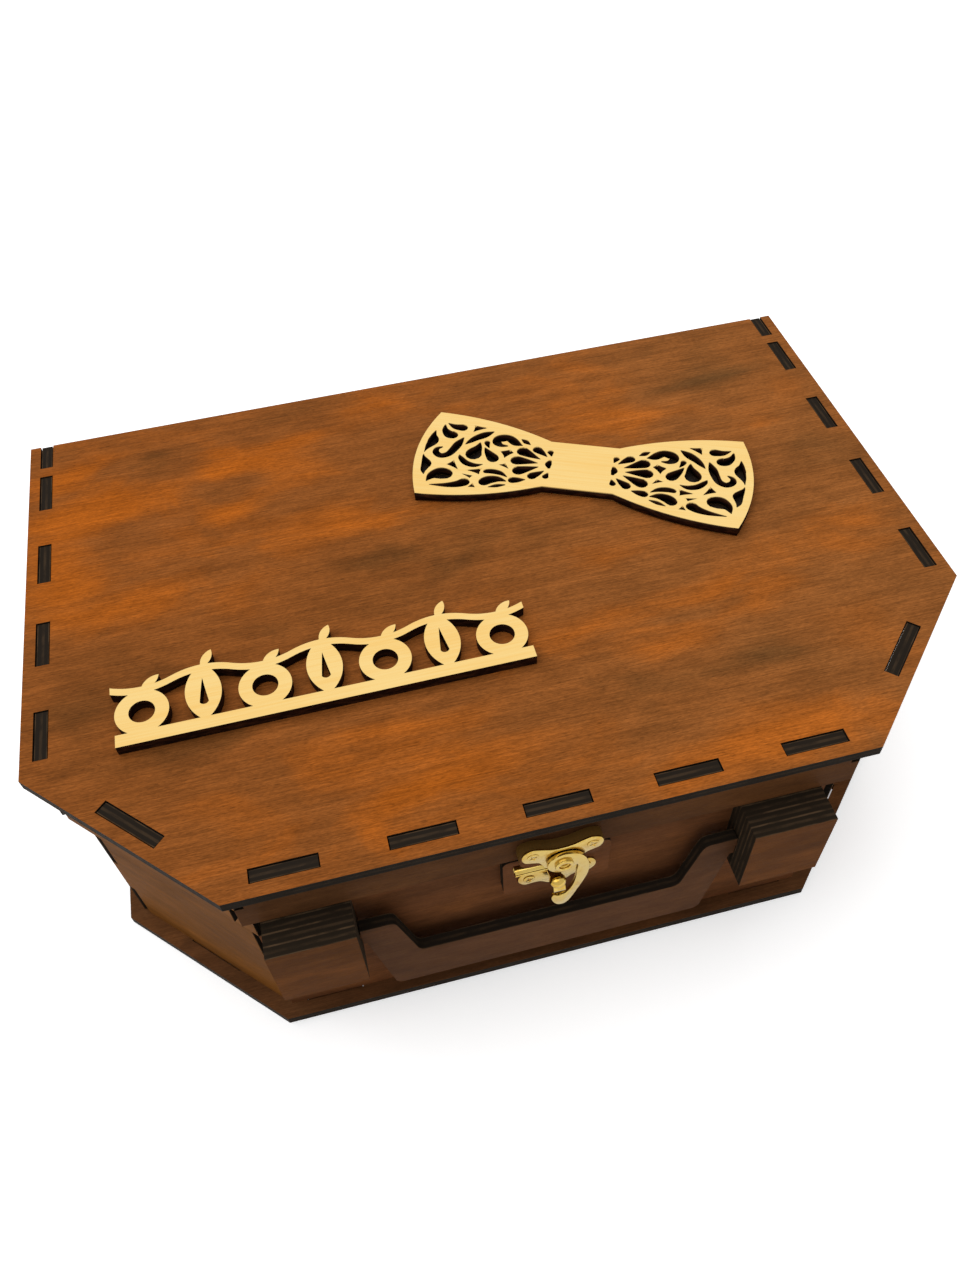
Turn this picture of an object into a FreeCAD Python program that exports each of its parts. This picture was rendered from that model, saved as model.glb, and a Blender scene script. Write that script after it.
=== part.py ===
import FreeCAD, Part
import math
import os
import re
import Sketcher
from FreeCAD import Placement, Rotation, Vector

# Laser-cut plywood gift case: a six-sided box with a cap lid hinged at the back,
# a drop handle between two stacked brackets, and a brass swing-hook clasp.
# Origin: centre of the base's underside. +X right, +Y back, +Z up, millimetres.

SIZES = (
    ("ply", 3.8, "plywood sheet, nominal 4 mm"),
    ("lid_width", 300.0, "lid plate, side to side"),
    ("lid_depth", 205.0, "lid plate, front to back"),
    ("corner_leg", 54.0, "leg of the 45 degree front corners"),
    ("case_height", 104.4, "base underside to lid top"),
    ("skirt_drop", 24.9, "lid top to the skirts' lower edge"),
    ("side_inset", 4.15, "lid edge to side and corner skirts"),
    ("front_inset", 4.6, "lid edge to front skirt"),
    ("back_overhang", 8.4, "lid edge to back wall"),
    ("lid_play", 0.3, "gap between skirts and case walls"),
    ("base_lip", 5.2, "base edge beyond the case walls"),
    ("joint_gap", 0.05, "gap in the finger joints"),
    ("tab_recess", 0.4, "tenon ends below the plate's face"),
    ("slot_play", 0.35, "slot beyond the tenon, at each end"),
    ("slot_gap", 0.4, "slot beyond the tenon, at each face"),
    ("front_tab", 19.1, "front and back tenon length"),
    ("front_margin", 18.1, "lid corner to the outermost front tenon's middle"),
    ("corner_tab", 22.0, "corner tenon length"),
    ("side_tab", 17.6, "side tenon length"),
    ("side_first", 26.5, "lid back edge to the first side tenon's middle"),
    ("side_margin", 15.1, "last side tenon's middle to the lid corner"),
    ("rear_tab", 12.2, "side skirt tenon at the lid's back edge"),
    ("bracket_margin", 5.4, "front wall's end to a bracket"),
    ("handle_shift", -2.2, "brackets and handle, off the case's middle to the right"),
    ("bracket_width", 26.6, "bracket, along the front"),
    ("bracket_height", 32.4, "bracket, bottom to top"),
    ("bracket_below", 1.4, "skirt edge to bracket top"),
    ("pin_diameter", 3.6, "handle end pin"),
    ("pin_length", 7.0, "handle end pin in its pocket"),
    ("pin_play", 0.1, "gap round the handle pin"),
    ("pin_drop", 18.4, "bracket top to the handle pin's axis"),
    ("end_play", 0.4, "gap between handle and bracket"),
    ("tab_height", 9.3, "handle end tab, top to bottom"),
    ("tab_reach", 10.8, "handle end tab, along its top"),
    ("leg_slant", 6.1, "lean of the handle leg"),
    ("leg_drop", 24.3, "handle shoulder to grip"),
    ("leg_width", 9.6, "handle leg, across"),
    ("grip_height", 22.3, "handle grip, top to bottom"),
    ("handle_round", 3.0, "rounding of the handle's corners"),
    ("plate", 0.8, "brass sheet"),
    ("rivet_drop", 22.0, "lid top to the clasp rivet"),
    ("clasp_half", 12.5, "clasp plates, middle to ear end"),
    ("waist_half", 6.2, "clasp plates, middle to the ear's root"),
    ("ear_up", 5.4, "rivet to the upper screws"),
    ("ear_half", 4.4, "half height of a clasp ear"),
    ("ear_round", 3.9, "rounding of an ear's end"),
    ("waist_round", 1.4, "rounding of an ear's root"),
    ("plate_dip", 2.2, "ear top to the plate's middle"),
    ("lobe_half", 5.0, "half width of a clasp plate's lobe"),
    ("lobe_round", 2.0, "rounding of a clasp plate's lobe"),
    ("catch_down", 16.4, "rivet to the catch plate's middle"),
    ("catch_lobe", 2.0, "catch plate's lobe below its ears"),
    ("lever_sheet", 1.2, "hook sheet"),
    ("lever_gap", 0.3, "gap behind and before the hook"),
    ("lever_head", 5.2, "hook head radius"),
    ("lever_round", 3.8, "rounding of the hook's head"),
    ("lever_length", 28.0, "rivet to the hook's lower end"),
    ("lever_back", 8.2, "rivet to the hook's back"),
    ("lever_shoulder", 7.0, "rivet to the widest of the hook's back, down"),
    ("lever_waist", 17.6, "rivet to the hook's narrowing, down"),
    ("lever_neck", 7.0, "rivet to the back at the narrowing"),
    ("lever_foot", 2.6, "half width of the hook's foot"),
    ("lever_tip", 2.6, "rivet to the hook's tip, sideways"),
    ("tip_rise", 5.6, "hook's lower end to its tip"),
    ("mouth_reach", 4.0, "rivet to the depth of the hook's mouth"),
    ("mouth_top", 5.6, "rivet to the top of the mouth"),
    ("mouth_low", 19.6, "rivet to the bottom of the mouth"),
    ("mouth_round", 1.6, "rounding of the hook's mouth and foot"),
    ("rivet_radius", 1.4, "clasp rivet shank"),
    ("rivet_head", 2.9, "clasp rivet head radius"),
    ("running_gap", 0.05, "running fit round pins and rivet"),
    ("staple_width", 3.6, "staple neck, across"),
    ("staple_height", 2.4, "staple neck, top to bottom"),
    ("staple_down", 13.2, "rivet to the staple's middle"),
    ("staple_lip", 1.2, "staple head beyond its neck, all round"),
    ("staple_head", 1.6, "staple head, front to back"),
    ("pad_half", 13.8, "upper pad half width"),
    ("pad_up", 11.6, "rivet to the upper pad's top"),
    ("pad_dip", 1.8, "hollow in the upper pad's top"),
    ("pad_down", 2.4, "rivet to the upper pad's bottom"),
    ("low_pad_half", 17.1, "lower pad half width"),
    ("low_pad_height", 21.5, "lower pad, top to bottom"),
    ("pad_below", 1.6, "skirt edge to lower pad"),
    ("pad_round", 2.4, "rounding of the lower pad"),
    ("hinge_from_side", 65.0, "lid side to a hinge's middle"),
    ("hinge_length", 24.0, "hinge, along its pin"),
    ("leaf_width", 6.0, "hinge leaf, pin to edge"),
    ("barrel_radius", 1.5, "hinge barrel"),
    ("barrel_off", 1.8, "hinge pin from wall and lid"),
    ("hinge_pin", 0.7, "hinge pin radius"),
    ("knuckle_gap", 0.3, "gap round and between hinge knuckles"),
    ("bow_length", 123.0, "bow tie, end to end"),
    ("bow_height", 46.4, "bow tie at its ends"),
    ("bow_crown", 4.3, "bulge of the bow tie's ends"),
    ("bow_belly", 2.4, "bulge of the bow tie's long edges"),
    ("bow_frame", 3.6, "plain frame round the bow tie's fretwork"),
    ("knot_length", 25.0, "bow tie knot, along"),
    ("knot_height", 23.8, "bow tie knot, across"),
    ("petal_width", 4.2, "petals of the bow tie's fan, across"),
    ("petal_length", 14.0, "petals of the bow tie's fan, along"),
    ("petal_root", 3.2, "fan's middle to its petals"),
    ("bow_from_side", 104.1, "lid's right side to the bow tie's middle"),
    ("bow_from_back", 72.1, "lid's back edge to the bow tie's middle"),
    ("bow_turn", -24.8, "bow tie's turn on the lid, degrees"),
    ("strip_length", 128.6, "fretwork strip, along its bar"),
    ("strip_bar", 4.4, "fretwork strip's bar, across"),
    ("ring_radius", 8.2, "fretwork strip's rings, outside"),
    ("ring_band", 4.2, "fretwork strip's rings, band"),
    ("bud_height", 20.5, "fretwork strip's buds, above the bar"),
    ("bud_bulge", 5.6, "bulge of a bud's side"),
    ("vine_band", 2.6, "vine above the rings, band"),
    ("vine_swing", 1.9, "vine, middle to crest"),
    ("vine_leaf", 7.4, "leaves on the vine, along"),
    ("leaf_bulge", 1.5, "bulge of a leaf's side"),
    ("strip_from_side", 29.1, "lid's left side to the strip"),
    ("strip_from_front", 55.6, "lid's front edge to the strip"),
)

doc = FreeCAD.newDocument("gift_case")
sheet = doc.addObject("Spreadsheet::Sheet", "Sizes")
for row, (alias, number, note) in enumerate(SIZES, start=1):
    sheet.set(f"A{row}", note)
    sheet.set(f"B{row}", str(number))
    sheet.setAlias(f"B{row}", alias)
doc.recompute()

ALIAS = re.compile(r"\b(" + "|".join(alias for alias, number, note in SIZES) + r")\b")
PARTS = {}

# Distances from the case's middle to the outer faces, and levels above the table.
LID_FRONT = "(lid_depth / 2)"
LID_CORNER = "((lid_width / 2 - corner_leg + lid_depth / 2) / sqrt(2))"
LID_SIDE = "(lid_width / 2)"
SKIRT_FRONT = f"({LID_FRONT} - front_inset)"
SKIRT_CORNER = f"({LID_CORNER} - side_inset)"
SKIRT_SIDE = f"({LID_SIDE} - side_inset)"
CASE_FRONT = f"({SKIRT_FRONT} - ply - lid_play)"
CASE_CORNER = f"({SKIRT_CORNER} - ply - lid_play)"
CASE_SIDE = f"({SKIRT_SIDE} - ply - lid_play)"
CASE_BACK = f"({LID_FRONT} - back_overhang)"
LID_UNDER = "(case_height - ply)"
SKIRT_LOW = "(case_height - skirt_drop)"
SKIRT_HEIGHT = "(skirt_drop - ply)"
WALL_HEIGHT = "(case_height - 2 * ply)"
CORNER_STEP = "(ply / sqrt(2) + joint_gap)"
TENON = "(ply - tab_recess)"
RIVET = "(case_height - rivet_drop)"
FRONT_PITCH = "((lid_width - 2 * corner_leg - 2 * front_margin) / 4)"
SIDE_PITCH = "((lid_depth - corner_leg - side_first - side_margin) / 3)"
FRONT_END = f"(sqrt(2) * {CASE_CORNER} - {CASE_FRONT})"
BRACKET_OUTER = f"({FRONT_END} - bracket_margin)"
BRACKET_INNER = f"({BRACKET_OUTER} - bracket_width)"
UPPER_PLATE = f"({SKIRT_FRONT} + ply)"
LOWER_PLATE = f"({CASE_FRONT} + ply)"
LEVER_BACK = f"({UPPER_PLATE} + plate + lever_gap)"
BRACKET_TOP = f"({SKIRT_LOW} - bracket_below)"
BRACKET_LOW = f"({BRACKET_TOP} - bracket_height)"
PIN_HEIGHT = f"({BRACKET_TOP} - pin_drop)"
HINGE_Y = f"({CASE_BACK} + barrel_off)"
HINGE_Z = f"({LID_UNDER} - barrel_off)"


def sized(text):
    """Turns the plain size names in an expression into the sheet's cells."""
    return ALIAS.sub(r"Sizes.\1", text)


def value(text):
    """Works out an expression of size names as a number."""
    return float(sheet.evalExpression(sized(text)))


def bind(target, field, text):
    """Ties one field of an object to an expression of size names."""
    target.setExpression(field, sized(text))


def keep(label, target):
    """Registers a finished sub-part under the name of its file."""
    target.Label = label
    PARTS[label] = target
    return target


def origin_plane(body, role):
    """Finds one of a body's own origin planes."""
    return next(item for item in body.Origin.OriginFeatures if item.Role == role)


def sketch_on(body, height="0", role="XY_Plane"):
    """Makes a sketch on a plane of the body, raised along the plane's normal."""
    sketch = body.newObject("Sketcher::SketchObject", "Profile")
    sketch.AttachmentSupport = (origin_plane(body, role), "")
    sketch.MapMode = "FlatFace"
    bind(sketch, "AttachmentOffset.Base.z", height)
    return sketch


def pin_down(sketch, geometry, point, x, y):
    """Ties a point of a sketch to its two coordinates."""
    for kind, text in (("DistanceX", x), ("DistanceY", y)):
        number = sketch.addConstraint(
            Sketcher.Constraint(kind, -1, 1, geometry, point, value(text)))
        bind(sketch, f"Constraints[{number}]", text)


def add_polygon(sketch, points):
    """Draws a closed run of straight lines through corners tied to the sheet."""
    first = sketch.GeometryCount
    corners = [Vector(value(x), value(y), 0) for x, y in points]
    for start, end in zip(corners, corners[1:] + corners[:1]):
        sketch.addGeometry(Part.LineSegment(start, end), False)
    for step, (x, y) in enumerate(points):
        following = first + (step + 1) % len(points)
        sketch.addConstraint(
            Sketcher.Constraint("Coincident", first + step, 2, following, 1))
        pin_down(sketch, first + step, 1, x, y)


def add_circle(sketch, x, y, radius):
    """Draws a circle with its middle and radius tied to the sheet."""
    middle = Vector(value(x), value(y), 0)
    number = sketch.addGeometry(Part.Circle(middle, Vector(0, 0, 1), value(radius)), False)
    pin_down(sketch, number, 3, x, y)
    size = sketch.addConstraint(Sketcher.Constraint("Radius", number, value(radius)))
    bind(sketch, f"Constraints[{size}]", radius)


def pad(body, sketch, length, flip=False):
    """Pads a sketch by a length."""
    feature = body.newObject("PartDesign::Pad", "Pad")
    feature.Profile = sketch
    bind(feature, "Length", length)
    feature.Reversed = flip
    doc.recompute()
    return feature


def pocket(body, sketch, depth, flip=False):
    """Cuts a sketch into the body, and makes sure that it cut something."""
    before = body.Shape.Volume
    feature = body.newObject("PartDesign::Pocket", "Pocket")
    feature.Profile = sketch
    bind(feature, "Length", depth)
    feature.Reversed = flip
    doc.recompute()
    if body.Shape.Volume >= before:
        raise RuntimeError(f"{body.Label}: a pocket cut nothing")
    return feature


def round_corners(body, radius, places):
    """Rounds the edges that run along the pad at the given corners."""
    base = body.Tip
    names = []
    for x, y in places:
        spot = Vector(value(x), value(y), 0)
        for number, edge in enumerate(base.Shape.Edges, start=1):
            ends = [vertex.Point for vertex in edge.Vertexes]
            upright = len(ends) == 2 and math.hypot(ends[0].x - ends[1].x, ends[0].y - ends[1].y) < 1e-6
            if upright and math.hypot(ends[0].x - spot.x, ends[0].y - spot.y) < 1e-4:
                names.append(f"Edge{number}")
    feature = body.newObject("PartDesign::Fillet", "Round")
    feature.Base = (base, names)
    bind(feature, "Radius", radius)
    doc.recompute()
    if not names or feature.Shape.isNull() or not feature.Shape.isValid():
        raise RuntimeError(f"{body.Label}: a rounding failed")
    return feature


def new_body(label):
    """Starts a sub-part as a body."""
    return keep(label, doc.addObject("PartDesign::Body", "Body"))


def stand_up(body, angle, distance, height, shift="0"):
    """Stands a flat body upright, facing outwards, at a distance from the middle."""
    turn = Rotation(Vector(0, 0, 1), angle) * Rotation(Vector(1, 0, 0), 90)
    body.Placement = Placement(Vector(), turn)
    bind(body, "Placement.Base.x", f"({distance}) * sin({angle} deg) + {shift}")
    bind(body, "Placement.Base.y", f"-({distance}) * cos({angle} deg)")
    bind(body, "Placement.Base.z", height)


def mirrored(points):
    """Mirrors an outline left to right, in the same turning sense."""
    return [(f"-({x})", y) for x, y in reversed(points)]


def six_sides(front, corner, side, back):
    """Gives the corners of the six-sided plan from its distances."""
    front_x = f"(sqrt(2) * {corner} - {front})"
    side_y = f"({side} - sqrt(2) * {corner})"
    right = [(front_x, f"-{front}"), (side, side_y), (side, back)]
    return right + [(f"-{x}", y) for x, y in reversed(right)]


def stepped_end(levels, out, inward, height):
    """Gives the corners of a finger-jointed end, from the bottom upwards."""
    points = []
    for number, stands_out in enumerate(levels):
        reach = out if stands_out else inward
        points.append((reach, f"{height} * {number} / {len(levels)}"))
        points.append((reach, f"{height} * {number + 1} / {len(levels)}"))
    return [spot for spot, before in zip(points, [None] + points[:-1]) if spot != before]


def tenons(places, base, tip):
    """Gives the corners of a row of tenons along an edge, from left to right."""
    points = []
    for middle, length in places:
        low = f"{middle} - {length} / 2"
        high = f"{middle} + {length} / 2"
        points += [(low, base), (low, tip), (high, tip), (high, base)]
    return points


def panel_outline(left_end, right_end, height, below=(), above=()):
    """Joins two finger-jointed ends and two rows of tenons into one outline."""
    bottom = tenons(below, "0", f"-{TENON}")
    top = tenons(above, height, f"{height} + {TENON}")
    return bottom + right_end + top[::-1] + left_end[::-1]


def wall(label, angle, distance, outline, height):
    """Makes one upright plywood panel with its outer face at a distance."""
    body = new_body(label)
    sketch = sketch_on(body)
    add_polygon(sketch, outline)
    pad(body, sketch, "ply")
    stand_up(body, angle, f"{distance} - ply", height)
    return body


def slot(angle, distance, middle, length):
    """Gives the plan of the slot that takes one tenon of an upright panel."""
    corners = []
    for across, along in ((-1, -1), (1, -1), (1, 1), (-1, 1)):
        reach = f"({distance} - ply / 2 + {across} * (ply / 2 + slot_gap))"
        run = f"({middle} + {along} * ({length} / 2 + slot_play))"
        corners.append((f"{reach} * sin({angle} deg) + {run} * cos({angle} deg)",
                        f"{run} * sin({angle} deg) - {reach} * cos({angle} deg)"))
    return corners


def plate_with_slots(label, outline, slots, height):
    """Makes a flat plate and cuts the tenon slots through it."""
    body = new_body(label)
    sketch = sketch_on(body)
    add_polygon(sketch, outline)
    pad(body, sketch, "ply")
    for corners in slots:
        cut = sketch_on(body)
        add_polygon(cut, corners)
        pocket(body, cut, "ply", flip=True)
    bind(body, "Placement.Base.z", height)
    return body


def drill(body, places, radius, depth, face="ply"):
    """Drills round holes into the outer face of a flat body."""
    for x, y in places:
        sketch = sketch_on(body, face)
        add_circle(sketch, x, y, radius)
        pocket(body, sketch, depth)


# Tenon rows. A side panel's run is measured towards the back, from the middle.
FRONT_TENONS = [(f"{number} * {FRONT_PITCH}", "front_tab") for number in range(-2, 3)]
CORNER_MIDDLE = f"(({LID_SIDE} - {LID_FRONT}) / sqrt(2))"
CORNER_TENONS = [(CORNER_MIDDLE, "corner_tab")]
SIDE_TENONS = [(f"({LID_FRONT} - side_first - {number} * {SIDE_PITCH})", "side_tab")
               for number in (3, 2, 1, 0)]
REAR_TENON = [(f"({LID_FRONT} - rear_tab / 2)", "rear_tab")]


def make_lid():
    """Makes the lid plate and its five skirts."""
    low_out = (True, False)
    high_out = (False, True)
    front_x = f"(sqrt(2) * {SKIRT_CORNER} - {SKIRT_FRONT})"
    front_end = stepped_end(low_out, front_x, f"{front_x} - {CORNER_STEP}", SKIRT_HEIGHT)
    front_far = [(f"-({x})", y) for x, y in front_end]
    wall("lid_front_skirt", 0, SKIRT_FRONT,
         panel_outline(front_far, front_end, SKIRT_HEIGHT, above=FRONT_TENONS), SKIRT_LOW)
    near_x = f"({SKIRT_CORNER} - sqrt(2) * {SKIRT_FRONT})"
    far_x = f"(sqrt(2) * {SKIRT_SIDE} - {SKIRT_CORNER})"
    corner = panel_outline(
        stepped_end(high_out, near_x, f"{near_x} + {CORNER_STEP}", SKIRT_HEIGHT),
        stepped_end(high_out, far_x, f"{far_x} - {CORNER_STEP}", SKIRT_HEIGHT),
        SKIRT_HEIGHT, above=CORNER_TENONS)
    side_x = f"({SKIRT_SIDE} - sqrt(2) * {SKIRT_CORNER})"
    rear_x = LID_FRONT
    side = panel_outline(
        stepped_end(low_out, side_x, f"{side_x} + {CORNER_STEP}", SKIRT_HEIGHT),
        [(rear_x, "0")],
        SKIRT_HEIGHT, above=SIDE_TENONS + REAR_TENON)
    side.remove((f"{REAR_TENON[0][0]} + rear_tab / 2", SKIRT_HEIGHT))
    for name, turn in (("right", 1), ("left", -1)):
        wall(f"lid_{name}_corner_skirt", turn * 45, SKIRT_CORNER,
             corner if turn > 0 else mirrored(corner), SKIRT_LOW)
        wall(f"lid_{name}_side_skirt", turn * 90, SKIRT_SIDE,
             side if turn > 0 else mirrored(side), SKIRT_LOW)
    slots = [slot(0, SKIRT_FRONT, middle, length) for middle, length in FRONT_TENONS]
    for turn in (1, -1):
        slots += [slot(turn * 45, SKIRT_CORNER, f"{turn} * {middle}", length)
                  for middle, length in CORNER_TENONS]
        slots += [slot(turn * 90, SKIRT_SIDE, f"{turn} * {middle}", length)
                  for middle, length in SIDE_TENONS + REAR_TENON]
    plate_with_slots("lid_plate", six_sides(LID_FRONT, LID_CORNER, LID_SIDE, LID_FRONT), slots, LID_UNDER)


def make_case():
    """Makes the base plate and the six case walls."""
    odd = (True, False, True, False, True)
    even = tuple(not stands_out for stands_out in odd)
    front_x = f"(sqrt(2) * {CASE_CORNER} - {CASE_FRONT})"
    front_end = stepped_end(odd, front_x, f"{front_x} - {CORNER_STEP}", WALL_HEIGHT)
    front_far = [(f"-({x})", y) for x, y in front_end]
    wall("case_front_wall", 0, CASE_FRONT,
         panel_outline(front_far, front_end, WALL_HEIGHT, below=FRONT_TENONS), "ply")
    near_x = f"({CASE_CORNER} - sqrt(2) * {CASE_FRONT})"
    far_x = f"(sqrt(2) * {CASE_SIDE} - {CASE_CORNER})"
    corner = panel_outline(
        stepped_end(even, near_x, f"{near_x} + {CORNER_STEP}", WALL_HEIGHT),
        stepped_end(even, far_x, f"{far_x} - {CORNER_STEP}", WALL_HEIGHT),
        WALL_HEIGHT, below=CORNER_TENONS)
    side_x = f"({CASE_SIDE} - sqrt(2) * {CASE_CORNER})"
    side = panel_outline(
        stepped_end(odd, side_x, f"{side_x} + {CORNER_STEP}", WALL_HEIGHT),
        stepped_end(odd, CASE_BACK, f"({CASE_BACK} - ply - joint_gap)", WALL_HEIGHT),
        WALL_HEIGHT, below=SIDE_TENONS)
    for name, turn in (("right", 1), ("left", -1)):
        wall(f"case_{name}_corner_wall", turn * 45, CASE_CORNER,
             corner if turn > 0 else mirrored(corner), "ply")
        wall(f"case_{name}_side_wall", turn * 90, CASE_SIDE,
             side if turn > 0 else mirrored(side), "ply")
    back_end = stepped_end(even, CASE_SIDE, f"({CASE_SIDE} - ply - joint_gap)", WALL_HEIGHT)
    back_far = [(f"-({x})", y) for x, y in back_end]
    wall("case_back_wall", 180, CASE_BACK,
         panel_outline(back_far, back_end, WALL_HEIGHT, below=FRONT_TENONS), "ply")
    slots = [slot(angle, distance, middle, length)
             for angle, distance in ((0, CASE_FRONT), (180, CASE_BACK))
             for middle, length in FRONT_TENONS]
    for turn in (1, -1):
        slots += [slot(turn * 45, CASE_CORNER, f"{turn} * {middle}", length)
                  for middle, length in CORNER_TENONS]
        slots += [slot(turn * 90, CASE_SIDE, f"{turn} * {middle}", length)
                  for middle, length in SIDE_TENONS]
    outline = six_sides(*[f"({distance} + base_lip)"
                          for distance in (CASE_FRONT, CASE_CORNER, CASE_SIDE, CASE_BACK)])
    plate_with_slots("base_plate", outline, slots, "0")


def make_brackets():
    """Makes the two brackets: a back layer, a pocket layer for the pin, two covers."""
    pin_up = "(bracket_height - pin_drop)"
    half = "(pin_diameter / 2 + pin_play)"
    inner = BRACKET_INNER
    outer = BRACKET_OUTER
    reach = f"({inner} + pin_length)"
    plain = [(inner, "0"), (outer, "0"), (outer, "bracket_height"), (inner, "bracket_height")]
    notched = plain + [(inner, f"{pin_up} + {half}"), (reach, f"{pin_up} + {half}"),
                       (reach, f"{pin_up} - {half}"), (inner, f"{pin_up} - {half}")]
    layers = (("back", plain), ("pocket", notched), ("cover", plain), ("front", plain))
    for name in ("left", "right"):
        for number, (layer, outline) in enumerate(layers):
            body = new_body(f"{name}_bracket_{layer}")
            sketch = sketch_on(body)
            add_polygon(sketch, outline if name == "right" else mirrored(outline))
            pad(body, sketch, "ply")
            stand_up(body, 0, f"{CASE_FRONT} + {number} * ply", BRACKET_LOW, "handle_shift")


def make_handle():
    """Makes the flat drop handle with its two round end pins."""
    end_x = f"({BRACKET_INNER} - end_play)"
    top = "(tab_height / 2)"
    shoulder = f"({end_x} - tab_reach)"
    valley = f"({shoulder} - leg_slant)"
    grip_top = f"({top} - leg_drop)"
    grip_low = f"({grip_top} - grip_height)"
    right = [(f"{valley} + leg_width", grip_low), (f"{shoulder} + leg_width", f"-{top}"),
             (end_x, f"-{top}"), (end_x, top), (shoulder, top), (valley, grip_top)]
    left = [(f"-({x})", y) for x, y in reversed(right)]
    body = new_body("handle")
    sketch = sketch_on(body)
    add_polygon(sketch, right + left)
    pad(body, sketch, "ply")
    round_corners(body, "handle_round", [right[0], right[4], right[5], left[0], left[1], left[5]])
    for flip, start in ((False, end_x), (True, f"-{end_x}")):
        pin = sketch_on(body, start, "YZ_Plane")
        add_circle(pin, "0", "ply / 2", "pin_diameter / 2")
        pad(body, pin, "pin_length", flip)
    stand_up(body, 0, f"{CASE_FRONT} + ply", PIN_HEIGHT, "handle_shift")


def brass_plate(label, middle, lobe, distance):
    """Makes one clasp plate: two round ears, a dip between them, and a lobe below."""
    right = [("lobe_half", lobe), ("waist_half", f"{middle} - ear_half"),
             ("clasp_half", f"{middle} - ear_half"), ("clasp_half", f"{middle} + ear_half"),
             ("waist_half", f"{middle} + ear_half - plate_dip / 2")]
    left = [(f"-{x}", y) for x, y in reversed(right)]
    body = new_body(label)
    sketch = sketch_on(body)
    add_polygon(sketch, right + [("0", f"{middle} + ear_half - plate_dip")] + left)
    pad(body, sketch, "plate")
    round_corners(body, "ear_round", right[2:4] + left[1:3])
    round_corners(body, "waist_round", [right[1], right[4], left[0], left[3]])
    round_corners(body, "lobe_round", [right[0], left[4]])
    stand_up(body, 0, distance, RIVET)
    return body


def make_clasp():
    """Makes the clasp: two pads, two plates, the rivet and the hook."""
    upper_pad = new_body("clasp_upper_pad")
    pad_top = [("pad_half", "pad_up"), ("0", "pad_up - pad_dip"), ("-pad_half", "pad_up")]
    sketch = sketch_on(upper_pad)
    add_polygon(sketch, [("pad_half", "-pad_down")] + pad_top + [("-pad_half", "-pad_down")])
    pad(upper_pad, sketch, "ply")
    round_corners(upper_pad, "ear_round", [pad_top[0], pad_top[2]])
    drill(upper_pad, [("0", "0")], "rivet_radius + running_gap", "plate")
    stand_up(upper_pad, 0, SKIRT_FRONT, RIVET)

    top = f"({SKIRT_LOW} - pad_below - {RIVET})"
    corners = [("low_pad_half", f"{top} - low_pad_height"), ("low_pad_half", top),
               ("-low_pad_half", top), ("-low_pad_half", f"{top} - low_pad_height")]
    lower_pad = new_body("clasp_lower_pad")
    sketch = sketch_on(lower_pad)
    add_polygon(sketch, corners)
    pad(lower_pad, sketch, "ply")
    round_corners(lower_pad, "pad_round", corners)
    stand_up(lower_pad, 0, CASE_FRONT, RIVET)

    upper = brass_plate("clasp_plate", "ear_up", "-lobe_half", UPPER_PLATE)
    drill(upper, [("0", "0")], "rivet_radius + running_gap", "plate", "plate")
    make_catch()
    make_rivet()
    make_hook()


def make_catch():
    """Makes the catch plate with the headed staple that the hook closes round."""
    body = brass_plate("catch_plate", "-catch_down", "-catch_down - ear_half - catch_lobe", LOWER_PLATE)
    neck = f"({LEVER_BACK} + lever_sheet + lever_gap - {LOWER_PLATE} - plate)"
    for height, lip, length in (("plate", "0", neck), (f"plate + {neck}", "staple_lip", "staple_head")):
        half_x = f"(staple_width / 2 + {lip})"
        half_y = f"(staple_height / 2 + {lip})"
        low = f"-staple_down - {half_y}"
        high = f"-staple_down + {half_y}"
        sketch = sketch_on(body, height)
        add_polygon(sketch, [(half_x, low), (half_x, high), (f"-{half_x}", high), (f"-{half_x}", low)])
        pad(body, sketch, length)


def make_rivet():
    """Makes the rivet that the hook turns on, from the pad's face to its round head."""
    body = new_body("clasp_rivet")
    shank = "(plate * 2 + lever_gap * 2 + lever_sheet)"
    sketch = sketch_on(body)
    add_circle(sketch, "0", "0", "rivet_radius")
    pad(body, sketch, shank)
    head = sketch_on(body, shank)
    add_circle(head, "0", "0", "rivet_head")
    pad(body, head, "plate")
    stand_up(body, 0, f"{UPPER_PLATE} - plate", RIVET)


def make_hook():
    """Makes the swing hook: a round head, and a leg that curls under the staple."""
    body = new_body("clasp_hook")
    mouth = [("mouth_reach", "-mouth_top"), ("mouth_reach", "-staple_down"), ("0", "-mouth_low")]
    tip = ("-lever_tip", "tip_rise - lever_length")
    foot = [("-lever_foot / 2", "-lever_length"), ("lever_foot", "-lever_length")]
    back = [("lever_neck", "-lever_waist"), ("lever_back", "-lever_shoulder")]
    head = [("lever_head", "lever_head"), ("-lever_head", "lever_head")]
    chin = ("-lever_head", "-lever_head")
    sketch = sketch_on(body)
    add_polygon(sketch, [chin] + mouth + [tip] + foot + back + head)
    pad(body, sketch, "lever_sheet")
    round_corners(body, "lever_round", head + back + [chin])
    round_corners(body, "mouth_round", [mouth[0], mouth[2]] + foot)
    drill(body, [("0", "0")], "rivet_radius + running_gap", "lever_sheet", "lever_sheet")
    stand_up(body, 0, LEVER_BACK, RIVET)


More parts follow.
